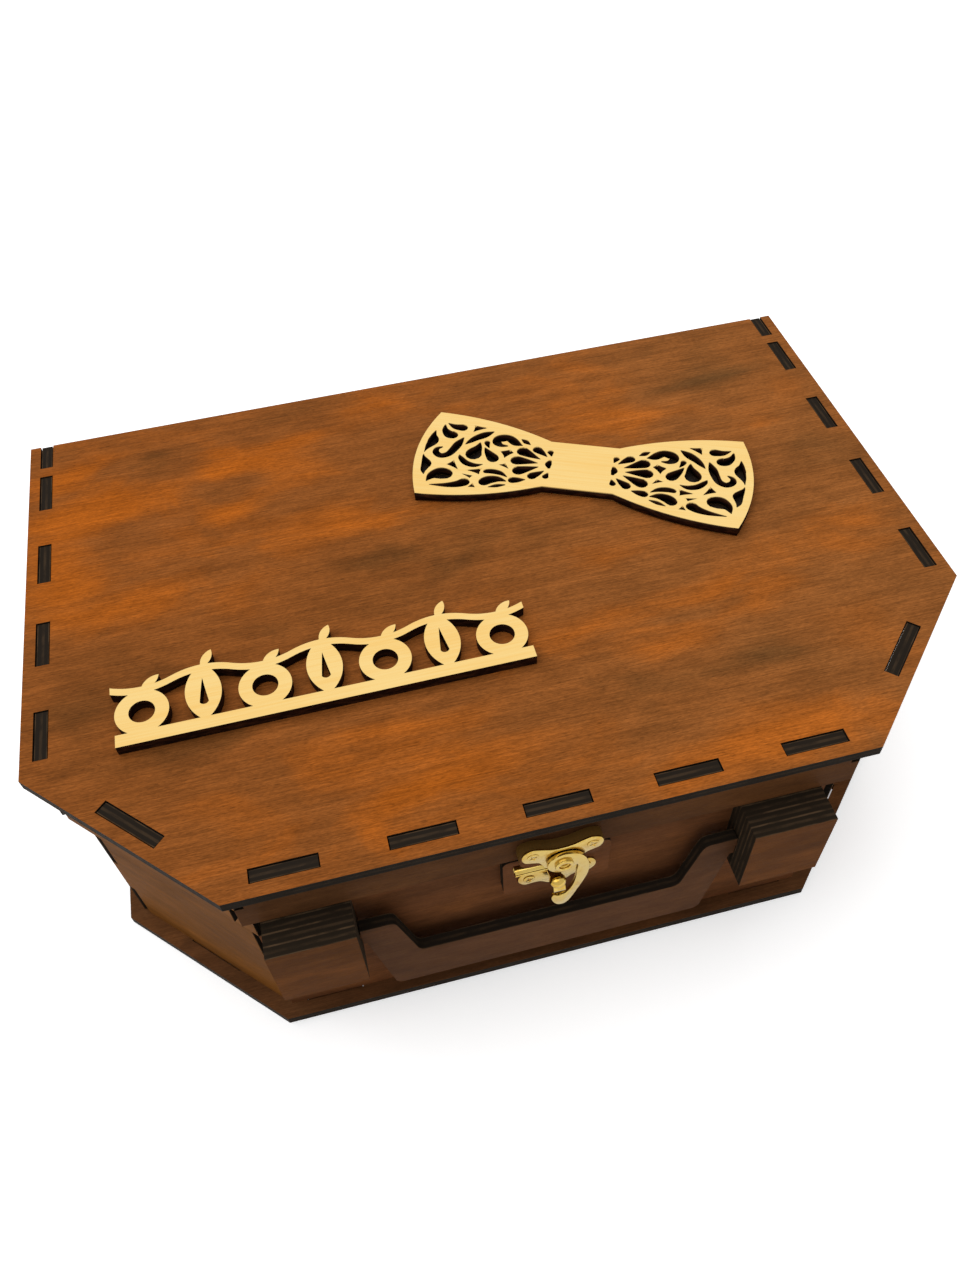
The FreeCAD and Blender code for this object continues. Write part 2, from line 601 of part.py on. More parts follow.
def make_hinges():
    """Makes the two butt hinges behind the back wall, under the lid's overhang."""
    third = "(hinge_length / 3)"
    clear = "(barrel_radius + knuckle_gap)"
    for name, side in (("left", -1), ("right", 1)):
        low = f"({side} * ({LID_SIDE} - hinge_from_side) - hinge_length / 2)"
        spans = {"case": (low, f"({low} + 2 * {third})"), "lid": (f"({low} + {third})",)}
        leaves = {"case": box(low, CASE_BACK, f"{HINGE_Z} - leaf_width",
                              "hinge_length", "plate", "leaf_width"),
                  "lid": box(low, HINGE_Y, f"{LID_UNDER} - plate", "hinge_length", "leaf_width", "plate")}
        notches = {"case": [box(start, CASE_BACK, f"{HINGE_Z} - {clear}", third, "plate", clear)
                            for start in spans["lid"]],
                   "lid": [box(start, HINGE_Y, f"{LID_UNDER} - plate", third, clear, "plate")
                           for start in spans["case"]]}
        for owner in ("case", "lid"):
            knuckles = [rod(f"{start} + knuckle_gap / 2", "barrel_radius", f"{third} - knuckle_gap")
                        for start in spans[owner]]
            bore = rod(low, "hinge_pin + running_gap", "hinge_length")
            sheet_part = cut_from(leaves[owner], notches[owner])
            keep(f"{name}_hinge_{owner}_leaf", cut_from(fused([sheet_part] + knuckles), [bore]))
        keep(f"{name}_hinge_pin", rod(low, "hinge_pin", "hinge_length"))


def box(x, y, z, length, width, height):
    """Makes a box tied to the sheet."""
    shape = doc.addObject("Part::Box", "Sheet")
    for field, text in (("Placement.Base.x", x), ("Placement.Base.y", y), ("Placement.Base.z", z),
                        ("Length", length), ("Width", width), ("Height", height)):
        bind(shape, field, text)
    return shape


def rod(x, radius, length):
    """Makes a rod on the hinge axis, from a point along X."""
    shape = doc.addObject("Part::Cylinder", "Rod")
    shape.Placement = Placement(Vector(), Rotation(Vector(0, 1, 0), 90))
    for field, text in (("Placement.Base.x", x), ("Placement.Base.y", HINGE_Y),
                        ("Placement.Base.z", HINGE_Z), ("Radius", radius), ("Height", length)):
        bind(shape, field, text)
    return shape


def fused(shapes):
    """Joins several objects into one."""
    union = doc.addObject("Part::MultiFuse", "Union")
    union.Shapes = shapes
    return union


def cut_from(base, tools):
    """Cuts one or more objects from another."""
    result = doc.addObject("Part::Cut", "Cut")
    result.Base = base
    result.Tool = tools[0] if len(tools) == 1 else fused(tools)
    return result


# Rise of a drop's blunt round end, as a share of its half width.
HEAD_RISE = 0.65


def arc_between(start, end, bulge):
    """Gives the arc from start to end that bulges to its right-hand side."""
    along = end.sub(start)
    side = Vector(along.y, -along.x, 0).normalize()
    middle = start.add(end).multiply(0.5).add(side.multiply(bulge))
    return Part.Arc(start, middle, end).toShape()


def leaf_wire(start, end, right, left):
    """Gives a pointed leaf between two points, from the bulges of its two sides."""
    return Part.Wire([arc_between(start, end, right), arc_between(end, start, left)])


def comma_wire(tip, head, radius, bend=0.05):
    """Gives a drop from a pointed tip to a round head, bent to its right-hand side."""
    along = head.sub(tip).normalize()
    side = Vector(along.y, -along.x, 0)
    near = head.add(side * radius)
    far = head.sub(side * radius)
    return Part.Wire([arc_between(tip, near, bend),
                      Part.Arc(near, head.add(along * (radius * HEAD_RISE)), far).toShape(),
                      arc_between(far, tip, -bend)])


def fretwork(label, outlines, holes, x, y, turn):
    """Joins flat outlines into one sheet, cuts its holes, and lays it on the lid."""
    rise = Vector(0, 0, value("ply"))
    solids = [Part.Face(wire).extrude(rise) for wire in outlines]
    sheet_part = solids[0].fuse(solids[1:]) if len(solids) > 1 else solids[0]
    piece = doc.addObject("Part::Feature", "Fretwork")
    piece.Shape = sheet_part.cut([Part.Face(hole).extrude(rise) for hole in holes]).removeSplitter()
    spot = Vector(value(x), value(y), value("case_height"))
    piece.Placement = Placement(spot, Rotation(Vector(0, 0, 1), turn))
    return keep(label, piece)


def bow_half_height(share):
    """Gives the half height of a bow tie's lobe at a share of its length."""
    knot = value("knot_height") / 2
    end = value("bow_height") / 2
    return knot + share * (end - knot) + 4 * value("bow_belly") * share * (1 - share)


def fan_petals(root):
    """Gives the fan of petals that opens from the bow tie's knot."""
    petals = []
    radius = value("petal_width") / 2
    for angle in (-54, -27, 0, 27, 54):
        turn = math.radians(angle)
        ray = Vector(math.cos(turn), math.sin(turn), 0)
        shrink = math.cos(turn / 2)
        head = root.add(ray * (value("petal_length") * shrink))
        petals.append(comma_wire(root.add(ray * value("petal_root")), head, radius * shrink))
    return petals


def bow_lobe_holes():
    """Gives the cut-outs of the bow tie's right lobe: a fan, drops, scrolls and leaves."""
    start = value("knot_length") / 2
    reach = value("bow_length") / 2 - value("bow_crown") - start
    holes = fan_petals(Vector(start - value("petal_root"), 0, 0))

    def spot(along, across):
        half = bow_half_height(along) - value("bow_frame")
        return Vector(start + along * reach, across * half, 0)

    holes += [
        comma_wire(spot(0.58, 0.52), spot(0.61, 0.12), 3.6, 0.4),
        comma_wire(spot(0.53, 0.38), spot(0.43, 0.04), 2.9, 0.4),
        comma_wire(spot(0.24, 0.72), spot(0.43, 0.70), 3.3, -1.6),
        leaf_wire(spot(0.50, 0.97), spot(0.68, 0.45), -0.4, 2.6),
        comma_wire(spot(0.90, 0.94), spot(0.73, 0.84), 2.0, -0.7),
        comma_wire(spot(0.93, 0.84), spot(0.85, 0.54), 2.8, -1.2),
        comma_wire(spot(0.73, 0.55), spot(0.85, 0.04), 3.3, 1.6),
        leaf_wire(spot(0.98, 0.66), spot(0.98, -0.58), -0.4, 2.4),
        leaf_wire(spot(0.50, -0.22), spot(0.74, -0.02), 3.2, -1.2),
        comma_wire(spot(0.27, -0.72), spot(0.46, -0.66), 3.1, -1.4),
        comma_wire(spot(0.94, -0.74), spot(0.77, -0.46), 3.3, 1.4),
        comma_wire(spot(0.91, -0.86), spot(0.62, -0.76), 2.4, -1.0),
    ]
    return holes


def make_bow_tie():
    """Makes the fretwork bow tie, turned on the lid."""
    tip = value("bow_length") / 2 - value("bow_crown")
    end_half = value("bow_height") / 2
    knot = value("knot_length") / 2
    knot_half = value("knot_height") / 2
    right = [Vector(knot, -knot_half, 0), Vector(tip, -end_half, 0),
             Vector(tip, end_half, 0), Vector(knot, knot_half, 0)]
    corners = right + [Vector(-spot.x, spot.y, 0) for spot in reversed(right)]
    belly = value("bow_belly")
    bulges = [belly, value("bow_crown"), belly, 0] * 2
    edges = [arc_between(spot, following, bulge) if bulge else Part.LineSegment(spot, following).toShape()
             for spot, following, bulge in zip(corners, corners[1:] + corners[:1], bulges)]
    holes = bow_lobe_holes()
    far = [hole.mirror(Vector(), Vector(1, 0, 0)) for hole in holes]
    fretwork("bow_tie", [Part.Wire(edges)], holes + far, f"{LID_SIDE} - bow_from_side",
             f"{LID_FRONT} - bow_from_back", value("bow_turn"))


def disc(middle, radius):
    """Gives a round wire."""
    return Part.Wire([Part.Circle(middle, Vector(0, 0, 1), radius).toShape()])


def vine_wire(start, step, count, height):
    """Gives the band of a vine that swings up and down over a row of steps."""
    swing = value("vine_swing")
    lower = [Vector(start + number * step, height, 0) for number in range(count + 1)]
    upper = [spot.add(Vector(0, value("vine_band"), 0)) for spot in lower]
    swings = [swing * (-1) ** number for number in range(count)]
    below = [arc_between(lower[i], lower[i + 1], swings[i]) for i in range(count)]
    above = [arc_between(upper[i + 1], upper[i], -swings[i]) for i in reversed(range(count))]
    return Part.Wire(below + [Part.LineSegment(lower[-1], upper[-1]).toShape()] + above
                     + [Part.LineSegment(upper[0], lower[0]).toShape()])


def make_strip():
    """Makes the fretwork strip: a bar with rings and buds in turn, under a leafy vine."""
    length = value("strip_length")
    bar = value("strip_bar")
    ring = value("ring_radius")
    band = value("ring_band")
    sunk = value("vine_band") / 2
    ring_count = 4
    pitch = (length - 2 * ring) / (2 * ring_count - 2)
    outlines = [Part.makePlane(length, bar).OuterWire]
    holes = []
    vine_height = bar + 2 * (ring - sunk) + value("vine_swing")
    for number in range(2 * ring_count - 1):
        x = ring + number * pitch
        if number % 2 == 0:
            middle = Vector(x, bar + ring - sunk, 0)
            outlines.append(disc(middle, ring))
            holes.append(disc(middle, ring - band))
        else:
            bulge = value("bud_bulge")
            foot = Vector(x, bar - sunk, 0)
            tip = Vector(x, bar + value("bud_height"), 0)
            outlines.append(leaf_wire(foot, tip, bulge, bulge))
            heart = foot.add(Vector(0, bulge + sunk, 0))
            holes.append(comma_wire(tip.sub(Vector(0, bulge, 0)), heart, bulge - band))
    outlines.append(vine_wire(ring - pitch / 2, pitch, 2 * ring_count - 1, vine_height))
    bulge = value("leaf_bulge")
    for number in range(2 * ring_count - 1):
        dip = value("vine_swing") * (-1) ** number
        root = Vector(ring + number * pitch, vine_height + sunk - dip, 0)
        turn = math.radians(62 if number % 2 else 40)
        end = root.add(Vector(math.cos(turn), math.sin(turn), 0) * value("vine_leaf"))
        outlines.append(leaf_wire(root, end, bulge, bulge))
    fretwork("fretwork_strip", outlines, holes, f"strip_from_side - {LID_SIDE}",
             f"strip_from_front - {LID_FRONT}", 0)


def main():
    """Builds every sub-part, checks it and writes it."""
    make_lid()
    make_case()
    make_brackets()
    make_handle()
    make_clasp()
    make_hinges()
    make_bow_tie()
    make_strip()
    doc.recompute()
    for item in doc.Objects:
        if {"Invalid", "Error"} & set(item.State):
            raise RuntimeError(f"{item.Label} failed: {item.State}")
    os.makedirs("parts", exist_ok=True)
    for label, item in PARTS.items():
        shape = item.Shape
        if shape.isNull() or not shape.isValid():
            raise RuntimeError(f"{label} has no valid shape")
        shape.exportStep(f"parts/{label}.step")
        print(label, len(shape.Solids), round(shape.Volume, 2))


main()
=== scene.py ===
"""Dresses the plywood gift case: smoke-stained panels, pale fretwork and a polished brass clasp."""

import logging
import math
from collections.abc import Callable
from dataclasses import dataclass, replace
from enum import Enum

import bpy
from mathutils import Matrix, Vector

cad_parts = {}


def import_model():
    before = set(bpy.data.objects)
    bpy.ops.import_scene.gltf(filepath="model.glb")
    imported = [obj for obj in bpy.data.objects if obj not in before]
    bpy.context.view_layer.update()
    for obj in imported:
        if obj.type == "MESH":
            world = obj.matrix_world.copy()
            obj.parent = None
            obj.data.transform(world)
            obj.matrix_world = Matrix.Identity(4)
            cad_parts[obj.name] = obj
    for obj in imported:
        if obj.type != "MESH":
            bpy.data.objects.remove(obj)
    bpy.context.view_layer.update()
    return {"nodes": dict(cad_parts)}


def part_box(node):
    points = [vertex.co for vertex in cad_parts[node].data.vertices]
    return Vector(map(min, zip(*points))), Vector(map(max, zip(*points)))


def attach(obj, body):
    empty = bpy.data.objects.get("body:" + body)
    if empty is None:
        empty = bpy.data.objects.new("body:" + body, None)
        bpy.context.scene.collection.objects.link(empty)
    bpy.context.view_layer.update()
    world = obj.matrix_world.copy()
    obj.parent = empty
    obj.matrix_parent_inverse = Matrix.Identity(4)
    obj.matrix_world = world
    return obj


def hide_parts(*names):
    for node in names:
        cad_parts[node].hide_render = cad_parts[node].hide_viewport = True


Colour = tuple[float, float, float]
Direction = tuple[float, float, float]
Span = tuple[float, float]
Spot = tuple[float, float]
Bead = tuple[float, float, float]
Piece = bpy.types.Object
Material = bpy.types.Material
Socket = bpy.types.NodeSocket
Source = Socket | float | tuple[float, ...]

LOG = logging.getLogger("gift_case")
# Outlines are drawn in millimetres. Other sizes are in metres, so their millimetres are written times MM.
MM = 0.001
WHITE: Colour = (1.0, 1.0, 1.0)
# Nearly all of a noise pattern's values lie in this span.
NOISE_SPAN: Span = (0.3, 0.7)
# How squarely a surface looks along a sheet's face, from the cut edge's look to the face's.
FACE_SPAN: Span = (0.6, 0.8)
DULL_SPECULAR = 0.015
LID_TOP = 104.4 * MM
SHARP_ANGLE = math.radians(35)
SMOOTH_ANGLE = math.radians(40)
# A face looks one way where at least this much of its normal does.
FACING = 0.9


class Panel(Enum):
    """How a plywood sheet lies in the case: its face's direction and the run of its grain."""

    LYING = ((0.0, 0.0, 1.0), (1.0, 0.0, 0.0))
    BOW = ((0.0, 0.0, 1.0), (0.9078, -0.4195, 0.0))
    FRONT = ((0.0, 1.0, 0.0), (1.0, 0.0, 0.0))
    SIDE = ((1.0, 0.0, 0.0), (0.0, 1.0, 0.0))
    LEFT_CORNER = ((0.7071, 0.7071, 0.0), (0.7071, -0.7071, 0.0))
    RIGHT_CORNER = ((0.7071, -0.7071, 0.0), (0.7071, 0.7071, 0.0))

    @property
    def face(self) -> Vector:
        """The direction that the sheet's face looks in."""
        return Vector(self.value[0])

    @property
    def grain(self) -> Vector:
        """The direction that the grain runs in."""
        return Vector(self.value[1])


class Slot(Enum):
    """Material slots of the part's record."""

    LID = "stained_lid_ply"
    CASE = "stained_case_ply"
    BIRCH = "pale_birch"
    BRASS = "polished_brass"


@dataclass(frozen=True)
class Pattern:
    """A noise pattern: its features' size on each axis, in millimetres, and how they are drawn."""

    size: Direction
    detail: float = 3.0
    roughness: float = 0.55
    wander: float = 0.0


class NodeBench:
    """Adds and links the nodes of one material or world."""

    def __init__(self, owner: Material | bpy.types.World, output: str = "ShaderNodeOutputMaterial") -> None:
        """Empties the owner's node tree.

        Args:
            owner: The material or world in work.
            output: The type of its output node.
        """
        owner.use_nodes = True
        self.owner = owner
        self.tree = owner.node_tree
        self.tree.nodes.clear()
        self.output = self.add(output, {})

    def add(self, kind: str, inputs: dict[str | int, Source], **settings: object) -> bpy.types.Node:
        """Adds a node.

        Args:
            kind: The node's type.
            inputs: What its inputs get, by name or place: another node's output, or a plain value.
            settings: Properties to set on it.

        Returns:
            The new node.
        """
        node = self.tree.nodes.new(kind)
        for key, setting in settings.items():
            setattr(node, key, setting)
        for key, source in inputs.items():
            target = node.inputs[key]
            if isinstance(source, Socket):
                self.tree.links.new(source, target)
            elif target.type == "RGBA":
                target.default_value = (*source, 1.0)
            else:
                target.default_value = source
        return node

    def show(self, surface: Socket) -> None:
        """Makes a shader the one that shows."""
        self.tree.links.new(surface, self.output.inputs["Surface"])

    def read(self, kind: str) -> Socket:
        """Reads one of the Texture Coordinate node's outputs."""
        return self.add("ShaderNodeTexCoord", {}).outputs[kind]

    def math(self, operation: str, *numbers: Socket | float) -> Socket:
        """Works out one number from others."""
        return self.add("ShaderNodeMath", dict(enumerate(numbers)), operation=operation).outputs[0]

    def vector(self, operation: str, *vectors: Socket | Direction, output: str = "Vector") -> Socket:
        """Works out a vector, or a number, from vectors."""
        return self.add("ShaderNodeVectorMath", dict(enumerate(vectors)), operation=operation).outputs[output]

    def along(self, vector: Socket, direction: Vector) -> Socket:
        """Measures a vector along a unit direction."""
        return self.vector("DOT_PRODUCT", vector, tuple(direction), output="Value")

    def wood_space(self, panel: Panel) -> tuple[Socket, Socket, Socket]:
        """Measures places along a sheet's grain, across it and through the sheet.

        Args:
            panel: How the sheet lies.

        Returns:
            The place as one vector, the length along the grain, and the depth.
        """
        point = self.read("Object")
        run = self.along(point, panel.grain)
        across = self.along(point, panel.face.cross(panel.grain))
        depth = self.along(point, panel.face)
        wood = self.add("ShaderNodeCombineXYZ", {"X": run, "Y": across, "Z": depth})
        return wood.outputs[0], run, depth

    def faced(self, panel: Panel, edge: Socket, face: Socket) -> Socket:
        """Shows one colour on a sheet's cut edges and another on its faces."""
        facing = self.math("ABSOLUTE", self.along(self.read("Normal"), panel.face))
        return self.blend(self.spread(facing, FACE_SPAN), edge, face)

    def noise(self, place: Socket, pattern: Pattern, output: str = "Fac") -> Socket:
        """Draws a noise pattern.

        Args:
            place: The place to read it at, in metres.
            pattern: The pattern.
            output: The node's output to take.

        Returns:
            The noise, about 0.5 in the mean.
        """
        scale = tuple(1 / (length * MM) for length in pattern.size)
        inputs = {
            "Vector": self.vector("MULTIPLY", place, scale),
            "Scale": 1.0,
            "Detail": pattern.detail,
            "Roughness": pattern.roughness,
            "Distortion": pattern.wander,
        }
        return self.add("ShaderNodeTexNoise", inputs).outputs[output]

    def pulled(self, place: Socket, pattern: Pattern, reach: Direction) -> Socket:
        """Pulls a place about, at most as far as the reach, so that outlines get ragged there."""
        pull = self.vector("SUBTRACT", self.noise(place, pattern, "Color"), (0.5, 0.5, 0.5))
        return self.vector("MULTIPLY_ADD", pull, tuple(2 * length for length in reach), place)

    def spread(self, number: Socket, span: Span, results: Span = (0.0, 1.0)) -> Socket:
        """Maps a number smoothly from one span to another.

        Args:
            number: The number to map.
            span: Where the mapping starts and ends.
            results: The results there, which hold beyond it too.

        Returns:
            The mapped number.
        """
        keys = ("Value", "From Min", "From Max", "To Min", "To Max")
        inputs = dict(zip(keys, (number, *span, *results)))
        return self.add("ShaderNodeMapRange", inputs, interpolation_type="SMOOTHSTEP").outputs["Result"]

    def blend(self, share: Socket | float, first: Socket | Colour, second: Socket | Colour,
              way: str = "MIX") -> Socket:
        """Mixes two colours, with that share of the second."""
        inputs = {"Factor": share, "A": first, "B": second}
        return self.add("ShaderNodeMix", inputs, data_type="RGBA", blend_type=way).outputs["Result"]

    def three_tones(self, share: Socket, low: Colour, middle: Colour, high: Colour) -> Socket:
        """Runs from one colour over a second to a third.

        Args:
            share: 0 for the first colour, 0.5 for the second and 1 for the third.
            low: The first colour.
            middle: The second colour.
            high: The third colour.

        Returns:
            The colour.
        """
        node = self.add("ShaderNodeValToRGB", {0: share})
        ramp = node.color_ramp
        ramp.interpolation = "EASE"
        ramp.elements[0].color = (*low, 1.0)
        ramp.elements[1].color = (*high, 1.0)
        ramp.elements.new(0.5).color = (*middle, 1.0)
        return node.outputs[0]

    def bump(self, height: Socket, strength: float, distance: float) -> Socket:
        """Turns a height into a bumped normal, where the distance is the real height of 1."""
        inputs = {"Strength": strength, "Distance": distance, "Height": height}
        return self.add("ShaderNodeBump", inputs).outputs["Normal"]

    def seen_rays(self) -> Socket:
        """Tells rays of the camera, reflections and glass from those that carry light.

        Returns:
            1 for a ray that is looked along, otherwise 0.
        """
        paths = self.add("ShaderNodeLightPath", {}).outputs
        seen = self.math("MAXIMUM", paths["Is Camera Ray"], paths["Is Glossy Ray"])
        return self.math("MAXIMUM", seen, paths["Is Transmission Ray"])

    def finish(self, **sockets: Source) -> Material:
        """Closes a material with a Principled shader.

        Args:
            sockets: The shader's inputs by name, with underscores for spaces.

        Returns:
            The finished material.
        """
        inputs = {key.replace("_", " "): source for key, source in sockets.items()}
        self.show(self.add("ShaderNodeBsdfPrincipled", inputs).outputs[0])
        return self.owner


@dataclass(frozen=True)
class Cloud:
    """A soft patch, in millimetres on the lid, where the stain lies thicker or thinner; one light patch also
    paints a sheen.
    """

    x: float
    y: float
    length: float
    width: float
    lift: float


@dataclass(frozen=True)
class StainedPly:
    """Plywood under a smoky stain, with a laser-burnt edge that shows its layers."""

    name: str
    smoke: Colour
    tone: Colour
    ember: Colour
    char: Colour = (0.019, 0.014, 0.010)
    layer: Colour = (0.098, 0.060, 0.032)
    clouds: tuple[Cloud, ...] = ()
    cloud_span: Span = (0.0, 0.95)
    drift: Span = (0.22, 0.78)
    # A painted sheen: a pale colour added to the face, growing along the grain over this span.
    painted_sheen: Colour = (0.0, 0.0, 0.0)
    painted_sheen_span: Span = (-80 * MM, 120 * MM)
    pore_span: Span = (0.56, 0.74)
    clear_shade: float = 1.03
    pore_shade: float = 0.78
    figure_shade: float = 0.08
    streak_shade: float = 0.14
    mottle_shade: float = 0.12
    fibre_shade: float = 0.10
    roughness: Span = (0.49, 0.63)
    streak_height: float = 0.5
    relief: float = 0.22
    relief_height: float = 0.10 * MM
    sheet: float = 3.8 * MM
    veneer_span: Span = (0.39, 0.47)
    veneer_show: float = 0.8
    core_span: Span = (0.06, 0.17)
    core_show: float = 0.35
    soot_span: Span = (0.36, 0.64)
    soot_veil: float = 0.15
    thickness: Pattern = Pattern((52, 24, 24), 5.0, 0.55, 0.8)
    pull: Pattern = Pattern((26, 26, 26), 3.0, 0.5)
    pull_reach: Direction = (11 * MM, 7 * MM, 0.0)
    figure: Pattern = Pattern((110, 4.5, 20), 5.0, 0.6, 0.4)
    streaks: Pattern = Pattern((16, 0.5, 20), 4.0, 0.65, 0.3)
    mottle: Pattern = Pattern((16, 6, 20), 3.0, 0.6, 0.5)
    fibres: Pattern = Pattern((1.6, 0.34, 20), 2.0, 0.7)
    pores: Pattern = Pattern((2.6, 0.22, 20), 1.0, 0.5)
    soot: Pattern = Pattern((7.143, 7.143, 2), 4.0, 0.6)

    def material(self, panel: Panel, middle: float) -> Material:
        """Makes the finish for one sheet.

        Args:
            panel: How the sheet lies.
            middle: Where the sheet's middle is along its face's direction, in metres.

        Returns:
            The material.
        """
        bench = NodeBench(bpy.data.materials.new(self.name))
        wood, run, depth = bench.wood_space(panel)
        face = bench.three_tones(self.stain(bench, wood), self.smoke, self.tone, self.ember)
        # Adds the painted sheen, which grows towards the sheet's right-hand end.
        sheened_face = bench.blend(1.0, face, self.painted_sheen, "ADD")
        face = bench.blend(bench.spread(run, self.painted_sheen_span), face, sheened_face)

        streaks = bench.noise(wood, self.streaks)
        pits = bench.spread(bench.noise(wood, self.pores), self.pore_span)
        shade = bench.spread(pits, (0.0, 1.0), (self.clear_shade, self.pore_shade))
        for noise, amount in (
            (bench.noise(wood, self.figure), self.figure_shade),
            (streaks, self.streak_shade),
            (bench.noise(wood, self.mottle), self.mottle_shade),
            (bench.noise(wood, self.fibres), self.fibre_shade),
        ):
            band = bench.spread(noise, NOISE_SPAN, (1 - amount, 1 + amount))
            shade = bench.math("MULTIPLY", shade, band)
        face = bench.blend(1.0, face, shade, "MULTIPLY")

        edge = self.burnt_edge(bench, wood, depth, middle)
        height = bench.math("SUBTRACT", bench.math("MULTIPLY", streaks, self.streak_height), pits)
        return bench.finish(
            Base_Color=bench.faced(panel, edge, face),
            Roughness=bench.spread(streaks, NOISE_SPAN, self.roughness),
            Normal=bench.bump(height, self.relief, self.relief_height),
            Specular_IOR_Level=DULL_SPECULAR,
        )

    def stain(self, bench: NodeBench, wood: Socket) -> Socket:
        """Makes the stain's thickness, from smoky 0 to thin 1, with the lid's patches, one of which also
        paints a sheen.

        Args:
            bench: The material in work.
            wood: The place along, across and through the sheet.

        Returns:
            The share of the way from smoke to ember.
        """
        total = bench.spread(bench.noise(wood, self.thickness), NOISE_SPAN, self.drift)
        pulled = bench.pulled(wood, self.pull, self.pull_reach)
        for cloud in self.clouds:
            inputs = {
                "Vector": pulled,
                "Location": (cloud.x * MM, cloud.y * MM, LID_TOP),
                "Scale": (cloud.length * MM, cloud.width * MM, 1.0),
            }
            shape = bench.add("ShaderNodeMapping", inputs, vector_type="TEXTURE").outputs[0]
            patch = bench.add("ShaderNodeTexGradient", {0: shape}, gradient_type="SPHERICAL")
            lift = bench.spread(patch.outputs["Fac"], self.cloud_span, (0.0, cloud.lift))
            total = bench.math("ADD", total, lift)
        return total

    def burnt_edge(self, bench: NodeBench, wood: Socket, depth: Socket, middle: float) -> Socket:
        """Makes the charred edge, where the outer veneers and the core show as thin brown lines.

        Args:
            bench: The material in work.
            wood: The place along, across and through the sheet.
            depth: The place through the sheet.
            middle: The depth of the sheet's middle.

        Returns:
            The edge's colour.
        """
        offset = bench.math("ABSOLUTE", bench.math("SUBTRACT", depth, middle))
        share = bench.math("DIVIDE", offset, self.sheet)
        veneer = bench.spread(share, self.veneer_span, (0.0, self.veneer_show))
        core = bench.spread(share, self.core_span, (self.core_show, 0.0))
        clean = bench.spread(bench.noise(wood, self.soot), self.soot_span, (self.soot_veil, 1.0))
        lines = bench.math("MULTIPLY", bench.math("ADD", veneer, core), clean)
        return bench.blend(lines, self.char, self.layer)

    def dress(self, node: Piece, panel: Panel) -> None:
        """Puts the finish on a CAD sheet.

        Args:
            node: The sheet's object.
            panel: How the sheet lies.
        """
        low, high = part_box(node.name)
        middle = (low + high).dot(panel.face) / 2
        paint(node, self.material(panel, middle))


@dataclass(frozen=True)
class PaleBirch:
    """Bare birch plywood, pale on its face and burnt brown on its cut sides."""

    name: str = "bare_birch"
    light: Colour = (1.0, 0.71, 0.275)
    shade: Colour = (0.98, 0.63, 0.20)
    shade_span: Span = (0.38, 0.68)
    streak_share: float = 0.6
    char: Colour = (0.014, 0.006, 0.004)
    scorch: Colour = (0.060, 0.022, 0.010)
    scorch_span: Span = (0.4, 0.75)
    roughness: Span = (0.5, 0.62)
    relief: float = 0.2
    relief_height: float = 0.08 * MM
    streaks: Pattern = Pattern((30, 0.7, 11.111), 4.0, 0.6)
    drift: Pattern = Pattern((55.556, 25, 55.556), 2.0)
    soot: Pattern = Pattern((3.846, 3.846, 1.111), 4.0, 0.6)

    def material(self, panel: Panel) -> Material:
        """Makes the finish for a sheet that lies as the panel says.

        Args:
            panel: How the sheet lies.

        Returns:
            The material.
        """
        bench = NodeBench(bpy.data.materials.new(self.name))
        wood, _, _ = bench.wood_space(panel)
        streaks = bench.noise(wood, self.streaks)
        mixed = bench.math(
            "ADD",
            bench.math("MULTIPLY", streaks, self.streak_share),
            bench.math("MULTIPLY", bench.noise(wood, self.drift), 1 - self.streak_share),
        )
        face = bench.blend(bench.spread(mixed, self.shade_span), self.light, self.shade)
        soot = bench.noise(bench.read("Object"), self.soot)
        edge = bench.blend(bench.spread(soot, self.scorch_span), self.char, self.scorch)
        return bench.finish(
            Base_Color=bench.faced(panel, edge, face),
            Roughness=bench.spread(streaks, NOISE_SPAN, self.roughness),
            Normal=bench.bump(streaks, self.relief, self.relief_height),
            Specular_IOR_Level=DULL_SPECULAR,
        )


@dataclass(frozen=True)
class PolishedBrass:
    """Stamped brass sheet, polished, with a little tarnish and fine handling marks."""

    name: str = "polished_brass"
    bright: Colour = (0.54, 0.385, 0.105)
    warm: Colour = (0.46, 0.265, 0.028)
    warm_span: Span = (0.45, 0.75)
    roughness: Span = (0.11, 0.24)
    relief: float = 0.08
    relief_height: float = 0.05 * MM
    tarnish: Pattern = Pattern((4.545, 4.545, 4.545), 3.0, 0.6)
    marks: Pattern = Pattern((1.111, 1.111, 0.3846), 2.0)

    def material(self) -> Material:
        """Makes the finish.

        Returns:
            The material.
        """
        bench = NodeBench(bpy.data.materials.new(self.name))
        point = bench.read("Object")
        tarnish = bench.spread(bench.noise(point, self.tarnish), self.warm_span)
        marks = bench.noise(point, self.marks)
        return bench.finish(
            Base_Color=bench.blend(tarnish, self.bright, self.warm),
            Metallic=1.0,
            Roughness=bench.spread(marks, NOISE_SPAN, self.roughness),
            Normal=bench.bump(marks, self.relief, self.relief_height),
        )


@dataclass(frozen=True)
class ShadeGlue:
    """Wood glue in the joints, coloured near black as painted shade where they lie deep in shade."""

    name: str = "glue_painted_shade"
    # Near black: painted shade in deep joints and openings.
    soot: Colour = (0.008, 0.006, 0.005)
    amber: Colour = (0.024, 0.014, 0.008)
    amber_span: Span = (0.35, 0.7)
    roughness: Span = (0.4, 0.6)
    relief: float = 0.3
    relief_height: float = 0.1 * MM
    specular: float = 0.1
    lumps: Pattern = Pattern((2.5, 2.5, 2.5), 3.0, 0.6)

    def material(self) -> Material:
        """Makes the finish.

        Returns:
            The material.
        """
        bench = NodeBench(bpy.data.materials.new(self.name))
        lumps = bench.noise(bench.read("Object"), self.lumps)
        return bench.finish(
            Base_Color=bench.blend(bench.spread(lumps, self.amber_span), self.soot, self.amber),
            Roughness=bench.spread(lumps, NOISE_SPAN, self.roughness),
            Normal=bench.bump(lumps, self.relief, self.relief_height),
            Specular_IOR_Level=self.specular,
        )
